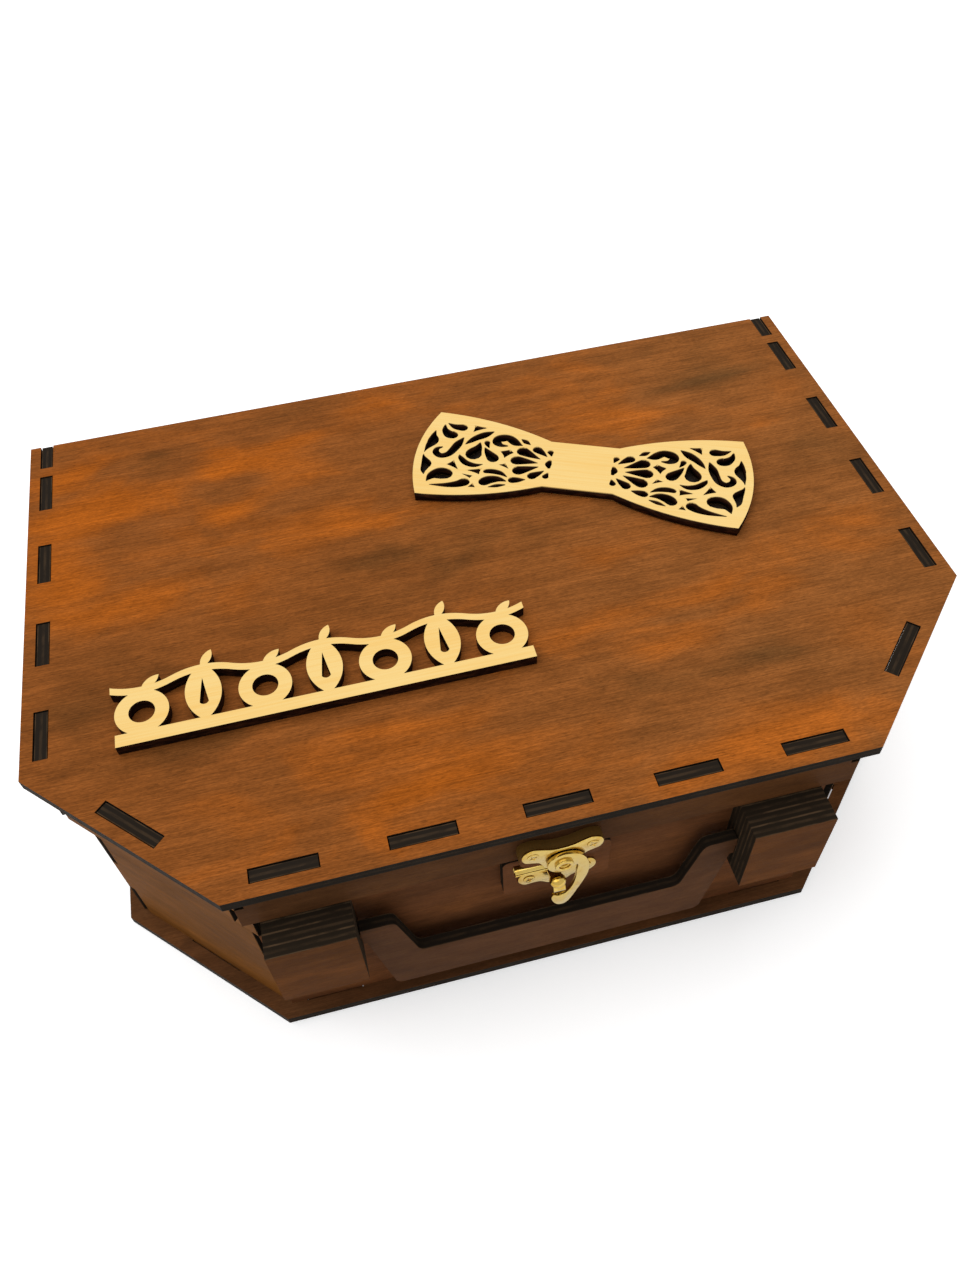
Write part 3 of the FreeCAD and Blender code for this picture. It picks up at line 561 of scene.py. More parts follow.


# Where the lid's stain is smokier, below 0, or thinner, above 0. One light patch at the left end is partly a
# painted sheen.
LID_CLOUDS = (
    Cloud(-104, 78, 30, 14, -0.46),
    Cloud(-75, 61, 24, 11, -0.22),
    Cloud(-102, 46, 28, 15, -0.24),
    Cloud(-51, 93, 34, 14, -0.36),
    Cloud(60, 84, 44, 20, 0.14),
    Cloud(118, 92, 42, 14, -0.18),
    Cloud(-22, 8, 66, 20, -0.30),
    Cloud(30, -58, 52, 18, -0.20),
    Cloud(78, -56, 34, 13, -0.30),
    Cloud(-30, -53, 60, 12, -0.14),
    Cloud(54, -18, 36, 16, -0.08),
    Cloud(-108, -50, 60, 12, -0.22),
    Cloud(-132, -28, 28, 16, -0.18),
    Cloud(130, -20, 32, 18, 0.22),
    Cloud(-92, -12, 56, 18, -0.16),
    Cloud(128, 20, 40, 16, -0.10),
    Cloud(108, 70, 46, 22, -0.30),
    # Partly thin stain, partly a painted sheen where light glances off the lid's left end.
    Cloud(-140, 36, 28, 30, 0.50),
    Cloud(-124, 62, 40, 18, 0.46),
    Cloud(-80, 74, 52, 16, 0.52),
    Cloud(-84, 48, 34, 16, 0.50),
    Cloud(-52, 62, 34, 15, 0.36),
    Cloud(-28, 86, 64, 17, 0.28),
    Cloud(-112, 14, 54, 18, 0.24),
    Cloud(-46, 26, 56, 18, 0.26),
    Cloud(68, 58, 44, 22, 0.34),
    Cloud(108, 34, 38, 16, 0.24),
    Cloud(46, -9, 34, 16, 0.32),
    Cloud(82, -26, 34, 30, 0.28),
    Cloud(50, -54, 34, 11, 0.44),
    Cloud(-36, -58, 44, 10, 0.24),
    Cloud(-46, -74, 80, 18, 0.18),
    Cloud(0, -94, 140, 15, 0.24),
    Cloud(80, -86, 52, 16, 0.36),
    Cloud(26, -38, 84, 14, 0.16),
    Cloud(-130, 82, 30, 16, 0.34),
    Cloud(-48, -9, 50, 13, -0.26),
    Cloud(-32, -79, 34, 16, 0.22),
)

LID_STAIN = StainedPly(
    name="lid_stain",
    smoke=(0.118, 0.044, 0.011),
    tone=(0.255, 0.079, 0.016),
    ember=(0.408, 0.102, 0.009),
    clouds=LID_CLOUDS,
    drift=(0.36, 0.68),
    layer=(0.070, 0.045, 0.025),
    # A painted sheen that pales the lid towards its right-hand end.
    painted_sheen=(0.014, 0.013, 0.006),
    pore_shade=0.70,
    streak_shade=0.20,
    fibre_shade=0.16,
)
FRONT_STAIN = StainedPly(
    name="front_stain",
    smoke=(0.105, 0.042, 0.017),
    tone=(0.180, 0.068, 0.026),
    ember=(0.260, 0.094, 0.030),
)
# A darker copy of the front stain: painted shade under the lid's edge, used on the front skirt and on the
# base plate's lip.
SKIRT_STAIN_PAINTED_SHADE = StainedPly(
    name="skirt_stain_painted_shade",
    smoke=(0.072, 0.031, 0.012),
    tone=(0.122, 0.050, 0.019),
    ember=(0.178, 0.069, 0.022),
)
BRACKET_STAIN = StainedPly(
    name="bracket_stain",
    smoke=(0.088, 0.034, 0.010),
    tone=(0.152, 0.055, 0.016),
    ember=(0.220, 0.076, 0.019),
    char=(0.028, 0.020, 0.013),
    layer=(0.150, 0.092, 0.050),
)
WALL_STAIN = StainedPly(
    name="wall_stain",
    smoke=(0.120, 0.0455, 0.011),
    tone=(0.196, 0.0735, 0.015),
    ember=(0.272, 0.101, 0.020),
    fibre_shade=0.07,
)
HANDLE_STAIN = StainedPly(
    name="handle_stain",
    smoke=(0.085, 0.037, 0.017),
    tone=(0.130, 0.056, 0.025),
    ember=(0.185, 0.076, 0.031),
)
# The upper pad's cut edge is painted light brown: partly the edge's own browner burn, partly painted light on
# an edge that lies in the lid's shade.
PAD_STAIN_PAINTED_LIGHT = replace(
    FRONT_STAIN,
    name="pad_stain_painted_light",
    char=(0.160, 0.085, 0.020),
    layer=(0.200, 0.110, 0.030),
)
BIRCH = PaleBirch()
BRASS = PolishedBrass()
# Near-black glue, used as painted shade.
SHADE_GLUE = ShadeGlue()


def paint(piece: Piece, material: Material) -> None:
    """Makes a material the only one of an object."""
    piece.data.materials.clear()
    piece.data.materials.append(material)


def clear_selection() -> None:
    """Deselects everything."""
    bpy.ops.object.select_all(action="DESELECT")


def only(piece: Piece) -> None:
    """Selects one object and makes it the active one.

    Args:
        piece: The object.
    """
    clear_selection()
    piece.select_set(True)
    bpy.context.view_layer.objects.active = piece


def joined(first: Piece, *others: Piece) -> Piece:
    """Joins pieces into the first of them.

    Args:
        first: The piece that stays.
        others: The pieces that go into it.

    Returns:
        The joined piece.
    """
    only(first)
    for other in others:
        other.select_set(True)
    bpy.ops.object.join()
    return first


def started(name: str) -> Piece:
    """Names the primitive that was just added, and puts its place into its data.

    Args:
        name: The piece's name.

    Returns:
        The piece.
    """
    piece = bpy.context.view_layer.objects.active
    piece.name = name
    piece.data.name = name
    only(piece)
    bpy.ops.object.transform_apply(location=True, rotation=True, scale=True)
    return piece


def pick_faces(piece: Piece, test: Callable[[bpy.types.MeshPolygon], bool]) -> None:
    """Opens an object in edit mode with some of its faces selected.

    Args:
        piece: The object.
        test: Says of each face whether it is taken.
    """
    only(piece)
    bpy.ops.object.mode_set(mode="EDIT")
    bpy.ops.mesh.select_mode(type="FACE")
    bpy.ops.mesh.select_all(action="DESELECT")
    bpy.ops.object.mode_set(mode="OBJECT")
    for face in piece.data.polygons:
        face.select = test(face)
    bpy.ops.object.mode_set(mode="EDIT")


def close_edit() -> None:
    """Leaves edit mode."""
    bpy.ops.object.mode_set(mode="OBJECT")


def modified(piece: Piece, kind: str, **settings: object) -> None:
    """Adds a modifier and applies it.

    Args:
        piece: The object.
        kind: The modifier's type.
        settings: Properties to set on it.
    """
    only(piece)
    change = piece.modifiers.new(kind.lower(), kind)
    for key, setting in settings.items():
        setattr(change, key, setting)
    bpy.ops.object.modifier_apply(modifier=change.name)


def eased(piece: Piece, width: float, segments: int = 3) -> Piece:
    """Rounds an object's sharp edges and smooths its shading.

    Args:
        piece: The object.
        width: How far the rounding reaches from the edge.
        segments: How many steps it has.

    Returns:
        The object.
    """
    modified(piece, "BEVEL", width=width, segments=segments, limit_method="ANGLE", angle_limit=SHARP_ANGLE)
    only(piece)
    bpy.ops.object.shade_smooth_by_angle(angle=SMOOTH_ANGLE)
    return piece


def twin(piece: Piece, name: str, shift: Vector) -> Piece:
    """Copies an object with a mesh of its own.

    Args:
        piece: The object to copy.
        name: The copy's name.
        shift: How far the copy lies from the object.

    Returns:
        The copy.
    """
    copy = piece.copy()
    copy.data = piece.data.copy()
    copy.name = name
    copy.data.name = name
    copy.data.transform(Matrix.Translation(shift))
    bpy.context.scene.collection.objects.link(copy)
    return copy


def curve_point(share: float, around: tuple[tuple[float, ...], ...]) -> tuple[float, ...]:
    """Finds a point on the smooth curve between the second and third of four points.

    Args:
        share: How far along it the point lies, from 0 to 1.
        around: The four points.

    Returns:
        The point.
    """
    point = []
    for first, second, third, fourth in zip(*around):
        slope = third - first
        bend = 2 * first - 5 * second + 4 * third - fourth
        twist = 3 * second - first - 3 * third + fourth
        point.append(second + (slope * share + bend * share**2 + twist * share**3) / 2)
    return tuple(point)


def smooth_line(points: tuple[tuple[float, ...], ...], steps: int, closed: bool) -> list[tuple[float, ...]]:
    """Draws a smooth curve through points.

    Args:
        points: The points.
        steps: How many pieces each stretch is drawn in.
        closed: Whether the curve comes back to its start.

    Returns:
        The points along the curve.
    """
    count = len(points)
    line = []
    for index in range(count if closed else count - 1):
        places = [index - 1, index, index + 1, index + 2]
        if closed:
            around = tuple(points[place % count] for place in places)
        else:
            around = tuple(points[min(max(place, 0), count - 1)] for place in places)
        line += [curve_point(step / steps, around) for step in range(steps)]
    return line if closed else line + [points[-1]]


def swelling_stroke(beads: tuple[Bead, ...], steps: int = 6, cap: int = 6) -> list[Spot]:
    """Draws round a stroke that swells and thins along its line.

    Args:
        beads: Points of the line, each with the stroke's half width there.
        steps: How many pieces each stretch is drawn in.
        cap: How many pieces each round end is drawn in.

    Returns:
        The stroke's outline.
    """
    line = smooth_line(beads, steps, False)
    sides: tuple[list[Spot], list[Spot]] = ([], [])
    turns = []
    for index, (x, y, half) in enumerate(line):
        before = line[max(index - 1, 0)]
        after = line[min(index + 1, len(line) - 1)]
        turn = math.atan2(after[1] - before[1], after[0] - before[0])
        turns.append(turn)
        for side, quarter in zip(sides, (math.pi / 2, -math.pi / 2)):
            side.append((x + half * math.cos(turn + quarter), y + half * math.sin(turn + quarter)))
    caps = []
    for (x, y, half), start in ((line[-1], turns[-1] + math.pi / 2), (line[0], turns[0] - math.pi / 2)):
        angles = [start - math.pi * step / cap for step in range(1, cap)]
        caps.append([(x + half * math.cos(angle), y + half * math.sin(angle)) for angle in angles])
    return sides[0] + caps[0] + sides[1][::-1] + caps[1]


def hollow_sided(corners: tuple[Spot, ...], pull: float = 0.32, steps: int = 5) -> list[Spot]:
    """Draws a shape whose sides bend in towards its middle.

    Args:
        corners: The corners.
        pull: How far each side bends in, as a share of the way to the middle.
        steps: How many pieces each side is drawn in.

    Returns:
        The shape's outline.
    """
    middle = Vector((sum(x for x, _ in corners), sum(y for _, y in corners))) / len(corners)
    outline = []
    for first, second in zip(corners, corners[1:] + corners[:1]):
        start, end = Vector(first), Vector(second)
        bend = ((start + end) / 2).lerp(middle, pull)
        for step in range(steps):
            share = step / steps
            outline.append(tuple(start.lerp(bend, share).lerp(bend.lerp(end, share), share)))
    return outline


def bulged(start: Spot, end: Spot, rise: float, steps: int = 14) -> list[Spot]:
    """Draws a shallow arc that bulges to the right of its way.

    Args:
        start: Its first point.
        end: The point where the next side starts, which is left off.
        rise: The height of the bulge.
        steps: How many pieces it is drawn in.

    Returns:
        The points along the arc.
    """
    way = Vector(end) - Vector(start)
    side = Vector((way.y, -way.x)).normalized()
    shares = [step / steps for step in range(steps)]
    return [tuple(Vector(start) + way * share + side * (4 * rise * share * (1 - share))) for share in shares]


def cut_sheet(name: str, outline: list[Spot], thickness: float) -> Piece:
    """Cuts a flat sheet to an outline, lying on the ground.

    Args:
        name: The piece's name.
        outline: Its outline, in millimetres.
        thickness: How far it rises, in metres.

    Returns:
        The sheet.
    """
    clear_selection()
    bpy.ops.mesh.primitive_circle_add(vertices=len(outline), radius=MM, fill_type="NGON")
    sheet = started(name)
    for corner, (x, y) in zip(sheet.data.vertices, outline):
        corner.co = (x * MM, y * MM, 0.0)
    pick_faces(sheet, lambda face: True)
    bpy.ops.mesh.extrude_region_move(TRANSFORM_OT_translate={"value": (0, 0, thickness)})
    bpy.ops.mesh.select_all(action="SELECT")
    bpy.ops.mesh.normals_make_consistent(inside=False)
    close_edit()
    return sheet


def fret_sheet(name: str, outlines: list[list[Spot]], thickness: float) -> Piece:
    """Cuts a flat sheet with openings, lying with its middle on the ground.

    Args:
        name: The piece's name.
        outlines: The sheet's outline and those of its openings, in millimetres.
        thickness: The sheet's thickness, in metres.

    Returns:
        The sheet.
    """
    clear_selection()
    bpy.ops.curve.primitive_bezier_circle_add(radius=MM)
    sheet = started(name)
    pattern = sheet.data
    pattern.splines.clear()
    for outline in outlines:
        line = pattern.splines.new("POLY")
        line.points.add(len(outline) - 1)
        for point, (x, y) in zip(line.points, outline):
            point.co = (x * MM, y * MM, 0.0, 1.0)
        line.use_cyclic_u = True
    pattern.dimensions = "2D"
    pattern.fill_mode = "BOTH"
    pattern.extrude = thickness / 2
    only(sheet)
    bpy.ops.object.convert(target="MESH")
    sheet.data.name = name
    bpy.ops.object.mode_set(mode="EDIT")
    bpy.ops.mesh.select_all(action="SELECT")
    bpy.ops.mesh.remove_doubles(threshold=0.002 * MM)
    bpy.ops.mesh.normals_make_consistent(inside=False)
    close_edit()
    return sheet


def seat(piece: Piece, body: str, finish: Material) -> None:
    """Finishes a piece and lets it ride on a body.

    Args:
        piece: The piece.
        body: The body that carries it.
        finish: Its material.
    """
    paint(piece, finish)
    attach(piece, body)
    LOG.info("piece %s on %s", piece.name, body)


SKIRTS = {
    "lid_front_skirt": Panel.FRONT,
    "lid_left_corner_skirt": Panel.LEFT_CORNER,
    "lid_right_corner_skirt": Panel.RIGHT_CORNER,
    "lid_left_side_skirt": Panel.SIDE,
    "lid_right_side_skirt": Panel.SIDE,
}


@dataclass
class Lid:
    """The cap lid: a plate with through tenons and five skirts."""

    nodes: dict[str, Piece]
    tip_reach: float = 0.05
    # Near-black glue beads in the tenon gaps, painted shade:
    shade_glue_gap: float = 0.4
    shade_glue_half: float = 0.19
    shade_glue_end: float = 1.0
    shade_glue_sunk: float = 1.2 * MM
    shade_glue_depth: float = 0.8 * MM

    def dress(self) -> None:
        """Stains the plate and the skirts."""
        LID_STAIN.dress(self.nodes["lid_plate"], Panel.LYING)
        for name, panel in SKIRTS.items():
            # The front skirt takes the front stain darkened as painted shade under the lid's edge.
            finish = SKIRT_STAIN_PAINTED_SHADE if panel is Panel.FRONT else WALL_STAIN
            finish.dress(self.nodes[name], panel)
        LOG.info("lid dressed")

    def build(self) -> None:
        """Fills the gaps beside the tenons with glue beads coloured near black as painted shade in the gaps.
        """
        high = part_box("lid_plate")[1]
        beads = []
        for name, panel in SKIRTS.items():
            beads += self.shade_glue_beads(name, panel, high.y / MM)
        # The beads are near black: painted shade in the gaps beside the tenons.
        shade_beads = joined(*beads)
        shade_beads.data.transform(Matrix.Translation((0, 0, high.z - self.shade_glue_sunk - self.shade_glue_depth)))
        seat(shade_beads, "lid", SHADE_GLUE.material())

    def shade_glue_beads(self, name: str, panel: Panel, back: float) -> list[Piece]:
        """Draws a bead along each face of a skirt's tenons.

        Args:
            name: The skirt's node.
            panel: How the skirt lies.
            back: Where the lid's back edge lies, in millimetres.

        Returns:
            The beads.
        """
        corners = [corner.co / MM for corner in self.nodes[name].data.vertices]
        top = max(corner.z for corner in corners)
        ends = [corner for corner in corners if corner.z > top - self.tip_reach]
        runs = sorted({round(corner.dot(panel.grain), 2) for corner in ends})
        faces = [corner.dot(panel.face) for corner in ends]
        beads = []
        for start, end in zip(runs[::2], runs[1::2]):
            stop = min(end, back - self.shade_glue_end)
            for face in (min(faces) - self.shade_glue_gap / 2, max(faces) + self.shade_glue_gap / 2):
                stroke = swelling_stroke(((start, face, self.shade_glue_half), (stop, face, self.shade_glue_half)))
                outline = [tuple((panel.grain * run + panel.face * depth).xy) for run, depth in stroke]
                beads.append(cut_sheet("lid_tenon_shade_glue", outline, self.shade_glue_depth))
        return beads


@dataclass
class Case:
    """The six-sided case: base, walls, brackets and the drop handle."""

    nodes: dict[str, Piece]

    def dress(self) -> None:
        """Stains the base, the walls, the brackets and the handle."""
        # The base plate takes the front stain darkened as painted shade along its lip at the foot.
        SKIRT_STAIN_PAINTED_SHADE.dress(self.nodes["base_plate"], Panel.LYING)
        FRONT_STAIN.dress(self.nodes["case_front_wall"], Panel.FRONT)
        WALL_STAIN.dress(self.nodes["case_back_wall"], Panel.FRONT)
        for side, corner in (("left", Panel.LEFT_CORNER), ("right", Panel.RIGHT_CORNER)):
            WALL_STAIN.dress(self.nodes[f"case_{side}_corner_wall"], corner)
            WALL_STAIN.dress(self.nodes[f"case_{side}_side_wall"], Panel.SIDE)
            for layer in ("back", "pocket", "cover", "front"):
                BRACKET_STAIN.dress(self.nodes[f"{side}_bracket_{layer}"], Panel.FRONT)
        HANDLE_STAIN.dress(self.nodes["handle"], Panel.FRONT)
        LOG.info("case dressed")


# The openings in the bow tie's right lobe: strokes by their line and half width, and hollow-sided patches.
STROKES: tuple[tuple[Bead, ...], ...] = (
    ((11.5, 2.5, 0.45), (11.9, 0.8, 0.95), (11.5, -0.9, 0.45)),
    ((15.9, 0.8, 0.15), (19.2, 1.0, 1.0), (22.2, 1.1, 1.8), (23.6, 1.1, 2.0)),
    ((15.3, 3.0, 0.15), (18.6, 4.5, 1.1), (21.0, 5.7, 1.8), (22.1, 6.2, 2.0)),
    ((15.3, -1.2, 0.15), (18.6, -2.6, 1.1), (21.0, -3.7, 1.8), (22.1, -4.1, 2.0)),
    ((13.0, 4.7, 0.15), (15.0, 6.4, 0.9), (17.0, 7.9, 1.5)),
    ((13.0, -3.0, 0.15), (14.9, -4.7, 0.9), (16.8, -6.2, 1.5)),
    ((11.4, 5.3, 0.2), (12.0, 7.2, 0.95)),
    ((11.4, -3.9, 0.2), (12.0, -5.8, 0.95)),
    ((20.0, 10.2, 0.15), (21.8, 11.5, 0.8), (23.6, 12.7, 0.15)),
    ((19.0, -8.5, 0.2), (21.3, -9.0, 1.0), (23.4, -9.4, 1.3)),
    ((22.8, 9.3, 0.15), (25.4, 10.4, 1.4), (28.4, 12.6, 1.5), (31.6, 11.8, 1.8), (32.2, 9.7, 1.5),
     (30.5, 8.3, 0.7), (28.3, 8.3, 0.3)),
    ((34.7, 6.3, 0.15), (35.6, 8.0, 0.6), (35.9, 9.1, 0.85)),
    ((34.5, 15.3, 0.2), (37.2, 13.3, 1.3), (40.2, 11.0, 1.2), (42.3, 8.7, 0.7), (43.6, 7.0, 0.15)),
    ((52.3, 17.6, 0.15), (49.4, 16.1, 1.1), (46.4, 15.9, 1.6)),
    ((53.3, 16.7, 0.15), (52.8, 13.9, 0.9), (51.0, 11.7, 1.7), (49.4, 11.3, 1.8)),
    ((45.0, 10.4, 0.2), (46.3, 6.9, 1.3), (47.5, 3.4, 1.3), (48.9, 0.7, 1.1), (51.4, -0.5, 1.0),
     (53.5, 0.9, 1.0), (53.5, 3.0, 0.7), (51.8, 4.2, 0.25)),
    ((56.1, 12.9, 0.12), (56.3, 10.3, 0.75), (56.0, 8.4, 1.6), (56.0, 6.6, 1.75), (57.0, 4.0, 0.95),
     (57.6, 1.9, 0.3), (57.8, 0.6, 0.1)),
    ((57.8, -0.6, 0.1), (57.5, -1.9, 0.35), (56.6, -3.6, 1.0), (55.7, -5.5, 1.6), (55.9, -7.4, 1.2),
     (56.0, -9.2, 0.7), (55.5, -11.0, 0.12)),
    ((38.4, 8.7, 0.15), (38.6, 6.2, 1.1), (39.4, 3.6, 2.4), (39.7, 2.2, 2.8)),
    ((36.2, 6.2, 0.15), (34.7, 3.9, 1.0), (32.9, 1.7, 1.8), (32.2, 0.9, 1.9)),
    ((35.4, -2.9, 0.15), (38.3, -3.8, 0.8), (41.6, -2.9, 1.0), (43.9, -0.6, 0.7), (44.7, 1.0, 0.15)),
    ((25.6, -8.1, 0.15), (28.2, -6.5, 0.8), (31.3, -6.0, 1.0), (33.5, -6.3, 0.8)),
    ((25.6, -10.3, 0.2), (28.6, -9.7, 1.2), (31.6, -10.5, 1.8), (33.2, -11.7, 1.8)),
    ((25.5, -12.2, 0.2), (28.4, -13.1, 0.6), (31.2, -14.2, 0.15)),
    ((52.2, -16.1, 0.15), (46.5, -15.5, 0.8), (42.5, -14.4, 1.4), (40.2, -13.0, 1.8)),
    ((53.7, -14.4, 0.15), (52.4, -11.5, 1.6), (49.9, -9.9, 2.7), (47.8, -9.7, 2.5)),
)
HOLLOWS: tuple[tuple[Spot, ...], ...] = (
    ((36.7, 17.2), (42.3, 18.0), (42.3, 13.9)),
    ((25.0, 5.0), (26.6, 6.7), (30.6, 5.1), (28.2, 1.6)),
    ((25.4, -4.0), (29.9, -2.1), (27.2, -1.0)),
    ((43.4, -7.1), (46.1, -1.9), (48.6, -4.8)),
    ((35.0, -4.9), (41.2, -6.7), (35.6, -8.3)),
    ((37.3, -9.2), (42.6, -8.6), (38.6, -10.7)),
    ((35.6, -15.2), (38.6, -15.4), (37.1, -12.9)),
)


@dataclass
class Ornaments:
    """The pale fretwork glued on the lid."""

    nodes: dict[str, Piece]
    bow_place: Spot = (45.9, 30.4)
    bow_turn: float = -24.8
    end_x: float = 56.4
    end_half: float = 22.3
    rim_rise: float = 1.1
    crown: float = 4.4
    belly: float = 2.4
    knot_x: float = 12.5
    knot_half: float = 11.9
    kerf: float = 0.3
    fine_half: float = 0.6
    # The near-black glue film under the bow tie, painted shade for its openings.
    shade_film_inset: float = 0.6
    shade_film: float = 0.2 * MM

    def dress(self) -> None:
        """Leaves the strip's birch bare."""
        paint(self.nodes["fretwork_strip"], BIRCH.material(Panel.LYING))
        LOG.info("ornaments dressed")

    def build(self) -> None:
        """Cuts the bow tie with its lace of petals, drops and scrolls, and a near-black glue film under it,
        painted shade seen through the openings.
        """
        low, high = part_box("bow_tie")
        turn = Matrix.Rotation(math.radians(self.bow_turn), 4, "Z")
        x, y = (length * MM for length in self.bow_place)
        bow = fret_sheet("bow_tie_fretwork", self.bow_outlines(), high.z - low.z - self.shade_film)
        bow.data.transform(Matrix.Translation((x, y, (low.z + self.shade_film + high.z) / 2)) @ turn)
        seat(bow, "lid", BIRCH.material(Panel.BOW))
        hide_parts("bow_tie")
        # A near-black film under the lace: a glue film, coloured as painted shade in the openings.
        shade_film = fret_sheet("bow_tie_shade_film", [self.rim(self.shade_film_inset)], self.shade_film)
        shade_film.data.transform(Matrix.Translation((x, y, low.z + self.shade_film / 2)) @ turn)
        seat(shade_film, "lid", SHADE_GLUE.material())

    def bow_outlines(self) -> list[list[Spot]]:
        """Draws the bow tie flat: its rim, then the openings of both lobes.

        Returns:
            The outlines.
        """
        openings = [swelling_stroke(self.burnt_wider(beads)) for beads in STROKES]
        openings += [hollow_sided(corners) for corners in HOLLOWS]
        return [self.rim()] + openings + [[(-x, y) for x, y in opening] for opening in openings]

    def rim(self, inset: float = 0.0) -> list[Spot]:
        """Draws the bow tie's outer edge.

        Args:
            inset: How far inside the edge the line runs.

        Returns:
            The outline.
        """
        knot = self.knot_half - inset
        end = self.end_half - inset
        end_x = self.end_x - inset
        lobe = (bulged((self.knot_x, -knot), (end_x, -end), self.belly)
                + bulged((end_x, -end), (end_x, end), self.crown)
                + bulged((end_x, end), (self.knot_x, knot), self.belly)
                + [(self.knot_x, knot)])
        return [(x, y + self.rim_rise) for x, y in lobe + [(-x, -y) for x, y in lobe]]

    def burnt_wider(self, beads: tuple[Bead, ...]) -> tuple[Bead, ...]:
        """Widens a stroke by what the laser burns away, but keeps its points fine."""
        return tuple((x, y, half + self.kerf * min(1.0, half / self.fine_half)) for x, y, half in beads)


@dataclass
class Screws:
    """Small brass screws with domed heads and crossed slots."""

    head_radius: float = 1.85 * MM
    head_rise: float = 0.4 * MM
    head_sides: int = 28
    dome_inset: float = 0.45
    dome_rise: float = 0.3
    round_share: float = 0.4
    slot_length: float = 2.3 * MM
    slot_width: float = 0.42 * MM
    slot_depth: float = 0.4 * MM
    slot_angles: tuple[float, float] = (20.0, 110.0)

    def model(self, name: str, place: Vector, turn: Matrix) -> Piece:
        """Models one screw head.

        Args:
            name: The piece's name.
            place: The middle of its seat.
            turn: Turns its axis from +Z to where the head looks.

        Returns:
            The head.
        """
        clear_selection()
        bpy.ops.mesh.primitive_cylinder_add(vertices=self.head_sides, radius=self.head_radius,
                                            depth=self.head_rise, location=(0, 0, self.head_rise / 2))
        head = started(name)
        pick_faces(head, lambda face: face.normal.z > FACING)
        bpy.ops.mesh.inset(thickness=self.dome_inset * self.head_radius)
        bpy.ops.transform.translate(value=(0, 0, self.dome_rise * self.head_rise))
        close_edit()
        eased(head, self.round_share * self.head_rise)
        for angle in self.slot_angles:
            clear_selection()
            bpy.ops.mesh.primitive_cube_add(size=1, location=(0, 0, (1 + self.dome_rise) * self.head_rise),
                                            rotation=(0, 0, math.radians(angle)),
                                            scale=(self.slot_length, self.slot_width, 2 * self.slot_depth))
            cutter = started("slot_cutter")
            modified(head, "BOOLEAN", operation="DIFFERENCE", object=cutter, solver="EXACT")
            bpy.data.objects.remove(cutter)
        head.data.transform(Matrix.Translation(place) @ turn)
        return head

    def pair(self, name: str, place: Vector, turn: Matrix, reach: float) -> tuple[Piece, Piece]:
        """Models two screws side by side.

        Args:
            name: The start of their names.
            place: The middle between their seats.
            turn: Turns their axes from +Z to where the heads look.
            reach: How far each stands from the middle.

        Returns:
            The left and the right screw.
        """
        left = self.model(f"{name}_left", place - Vector((reach, 0, 0)), turn)
        return left, twin(left, f"{name}_right", Vector((2 * reach, 0, 0)))


FORWARD = Matrix.Rotation(math.radians(90), 4, "X")
REARWARD = Matrix.Rotation(math.radians(-90), 4, "X")
DOWNWARD = Matrix.Rotation(math.radians(180), 4, "X")
SIDEWAYS = Matrix(((0, 0, 1, 0), (1, 0, 0, 0), (0, 1, 0, 0), (0, 0, 0, 1)))

# The clasp seen from the front, to the right and up. A half starts and ends on the middle line.
UPPER_HALF: tuple[Spot, ...] = (
    (0.0, 77.4), (3.2, 77.7), (5.3, 79.2), (6.2, 81.2), (7.3, 83.2), (9.3, 84.1), (11.5, 85.1),
    (12.5, 87.6), (11.6, 90.2), (9.0, 91.4), (6.2, 90.6), (3.2, 89.3), (0.0, 88.9),
)
CATCH_HALF: tuple[Spot, ...] = (
    (0.0, 59.6), (3.0, 60.0), (4.8, 61.6), (7.0, 62.4), (10.4, 62.2), (12.3, 64.2), (12.5, 66.6),
    (11.3, 69.0), (8.8, 69.9), (6.2, 69.2), (3.2, 68.4), (0.0, 68.2),
)
HOOK_RIM: tuple[Spot, ...] = (
    (-5.0, 82.6), (-4.5, 80.2), (-2.9, 78.2), (-0.6, 77.2), (1.6, 77.6), (3.0, 78.9), (3.9, 79.9),
    (4.5, 78.9), (4.2, 75.6), (4.1, 71.6), (3.5, 67.2), (2.2, 63.4), (0.6, 61.3), (-1.2, 60.9),
    (-2.6, 61.9), (-3.4, 60.4), (-2.8, 57.4), (-1.5, 55.2), (0.2, 54.5), (1.8, 55.5), (3.2, 58.4),
    (4.8, 62.8), (6.4, 67.4), (7.7, 72.0), (8.1, 76.4), (7.6, 80.4), (6.3, 84.0), (4.0, 86.6),
    (1.0, 87.6), (-2.0, 87.1), (-4.2, 85.2),
)
PAD_HALF: tuple[Spot, ...] = (
    (0.0, 80.0), (5.0, 80.0), (10.2, 80.4), (12.5, 82.2), (13.0, 85.4), (12.4, 88.4), (9.6, 89.8),
    (6.4, 89.2), (3.2, 88.0), (0.0, 87.6),
)
# The staple and the rolled tube seen from the side, back and up, the staple with its half thickness.
STAPLE_LINE: tuple[Bead, ...] = (
    (-98.2, 68.4, 0.7), (-100.6, 69.3, 0.9), (-102.7, 70.3, 1.1), (-104.2, 70.3, 1.1),
    (-105.0, 69.5, 0.9), (-105.2, 68.9, 0.8),
)
ROLL_MIDDLE: Spot = (-101.0, 78.4)


def mirrored(half: tuple[Spot, ...]) -> tuple[Spot, ...]:
    """Completes a plate's outline from its right half, which starts and ends on the middle line."""
    return half + tuple((-x, y) for x, y in reversed(half[1:-1]))


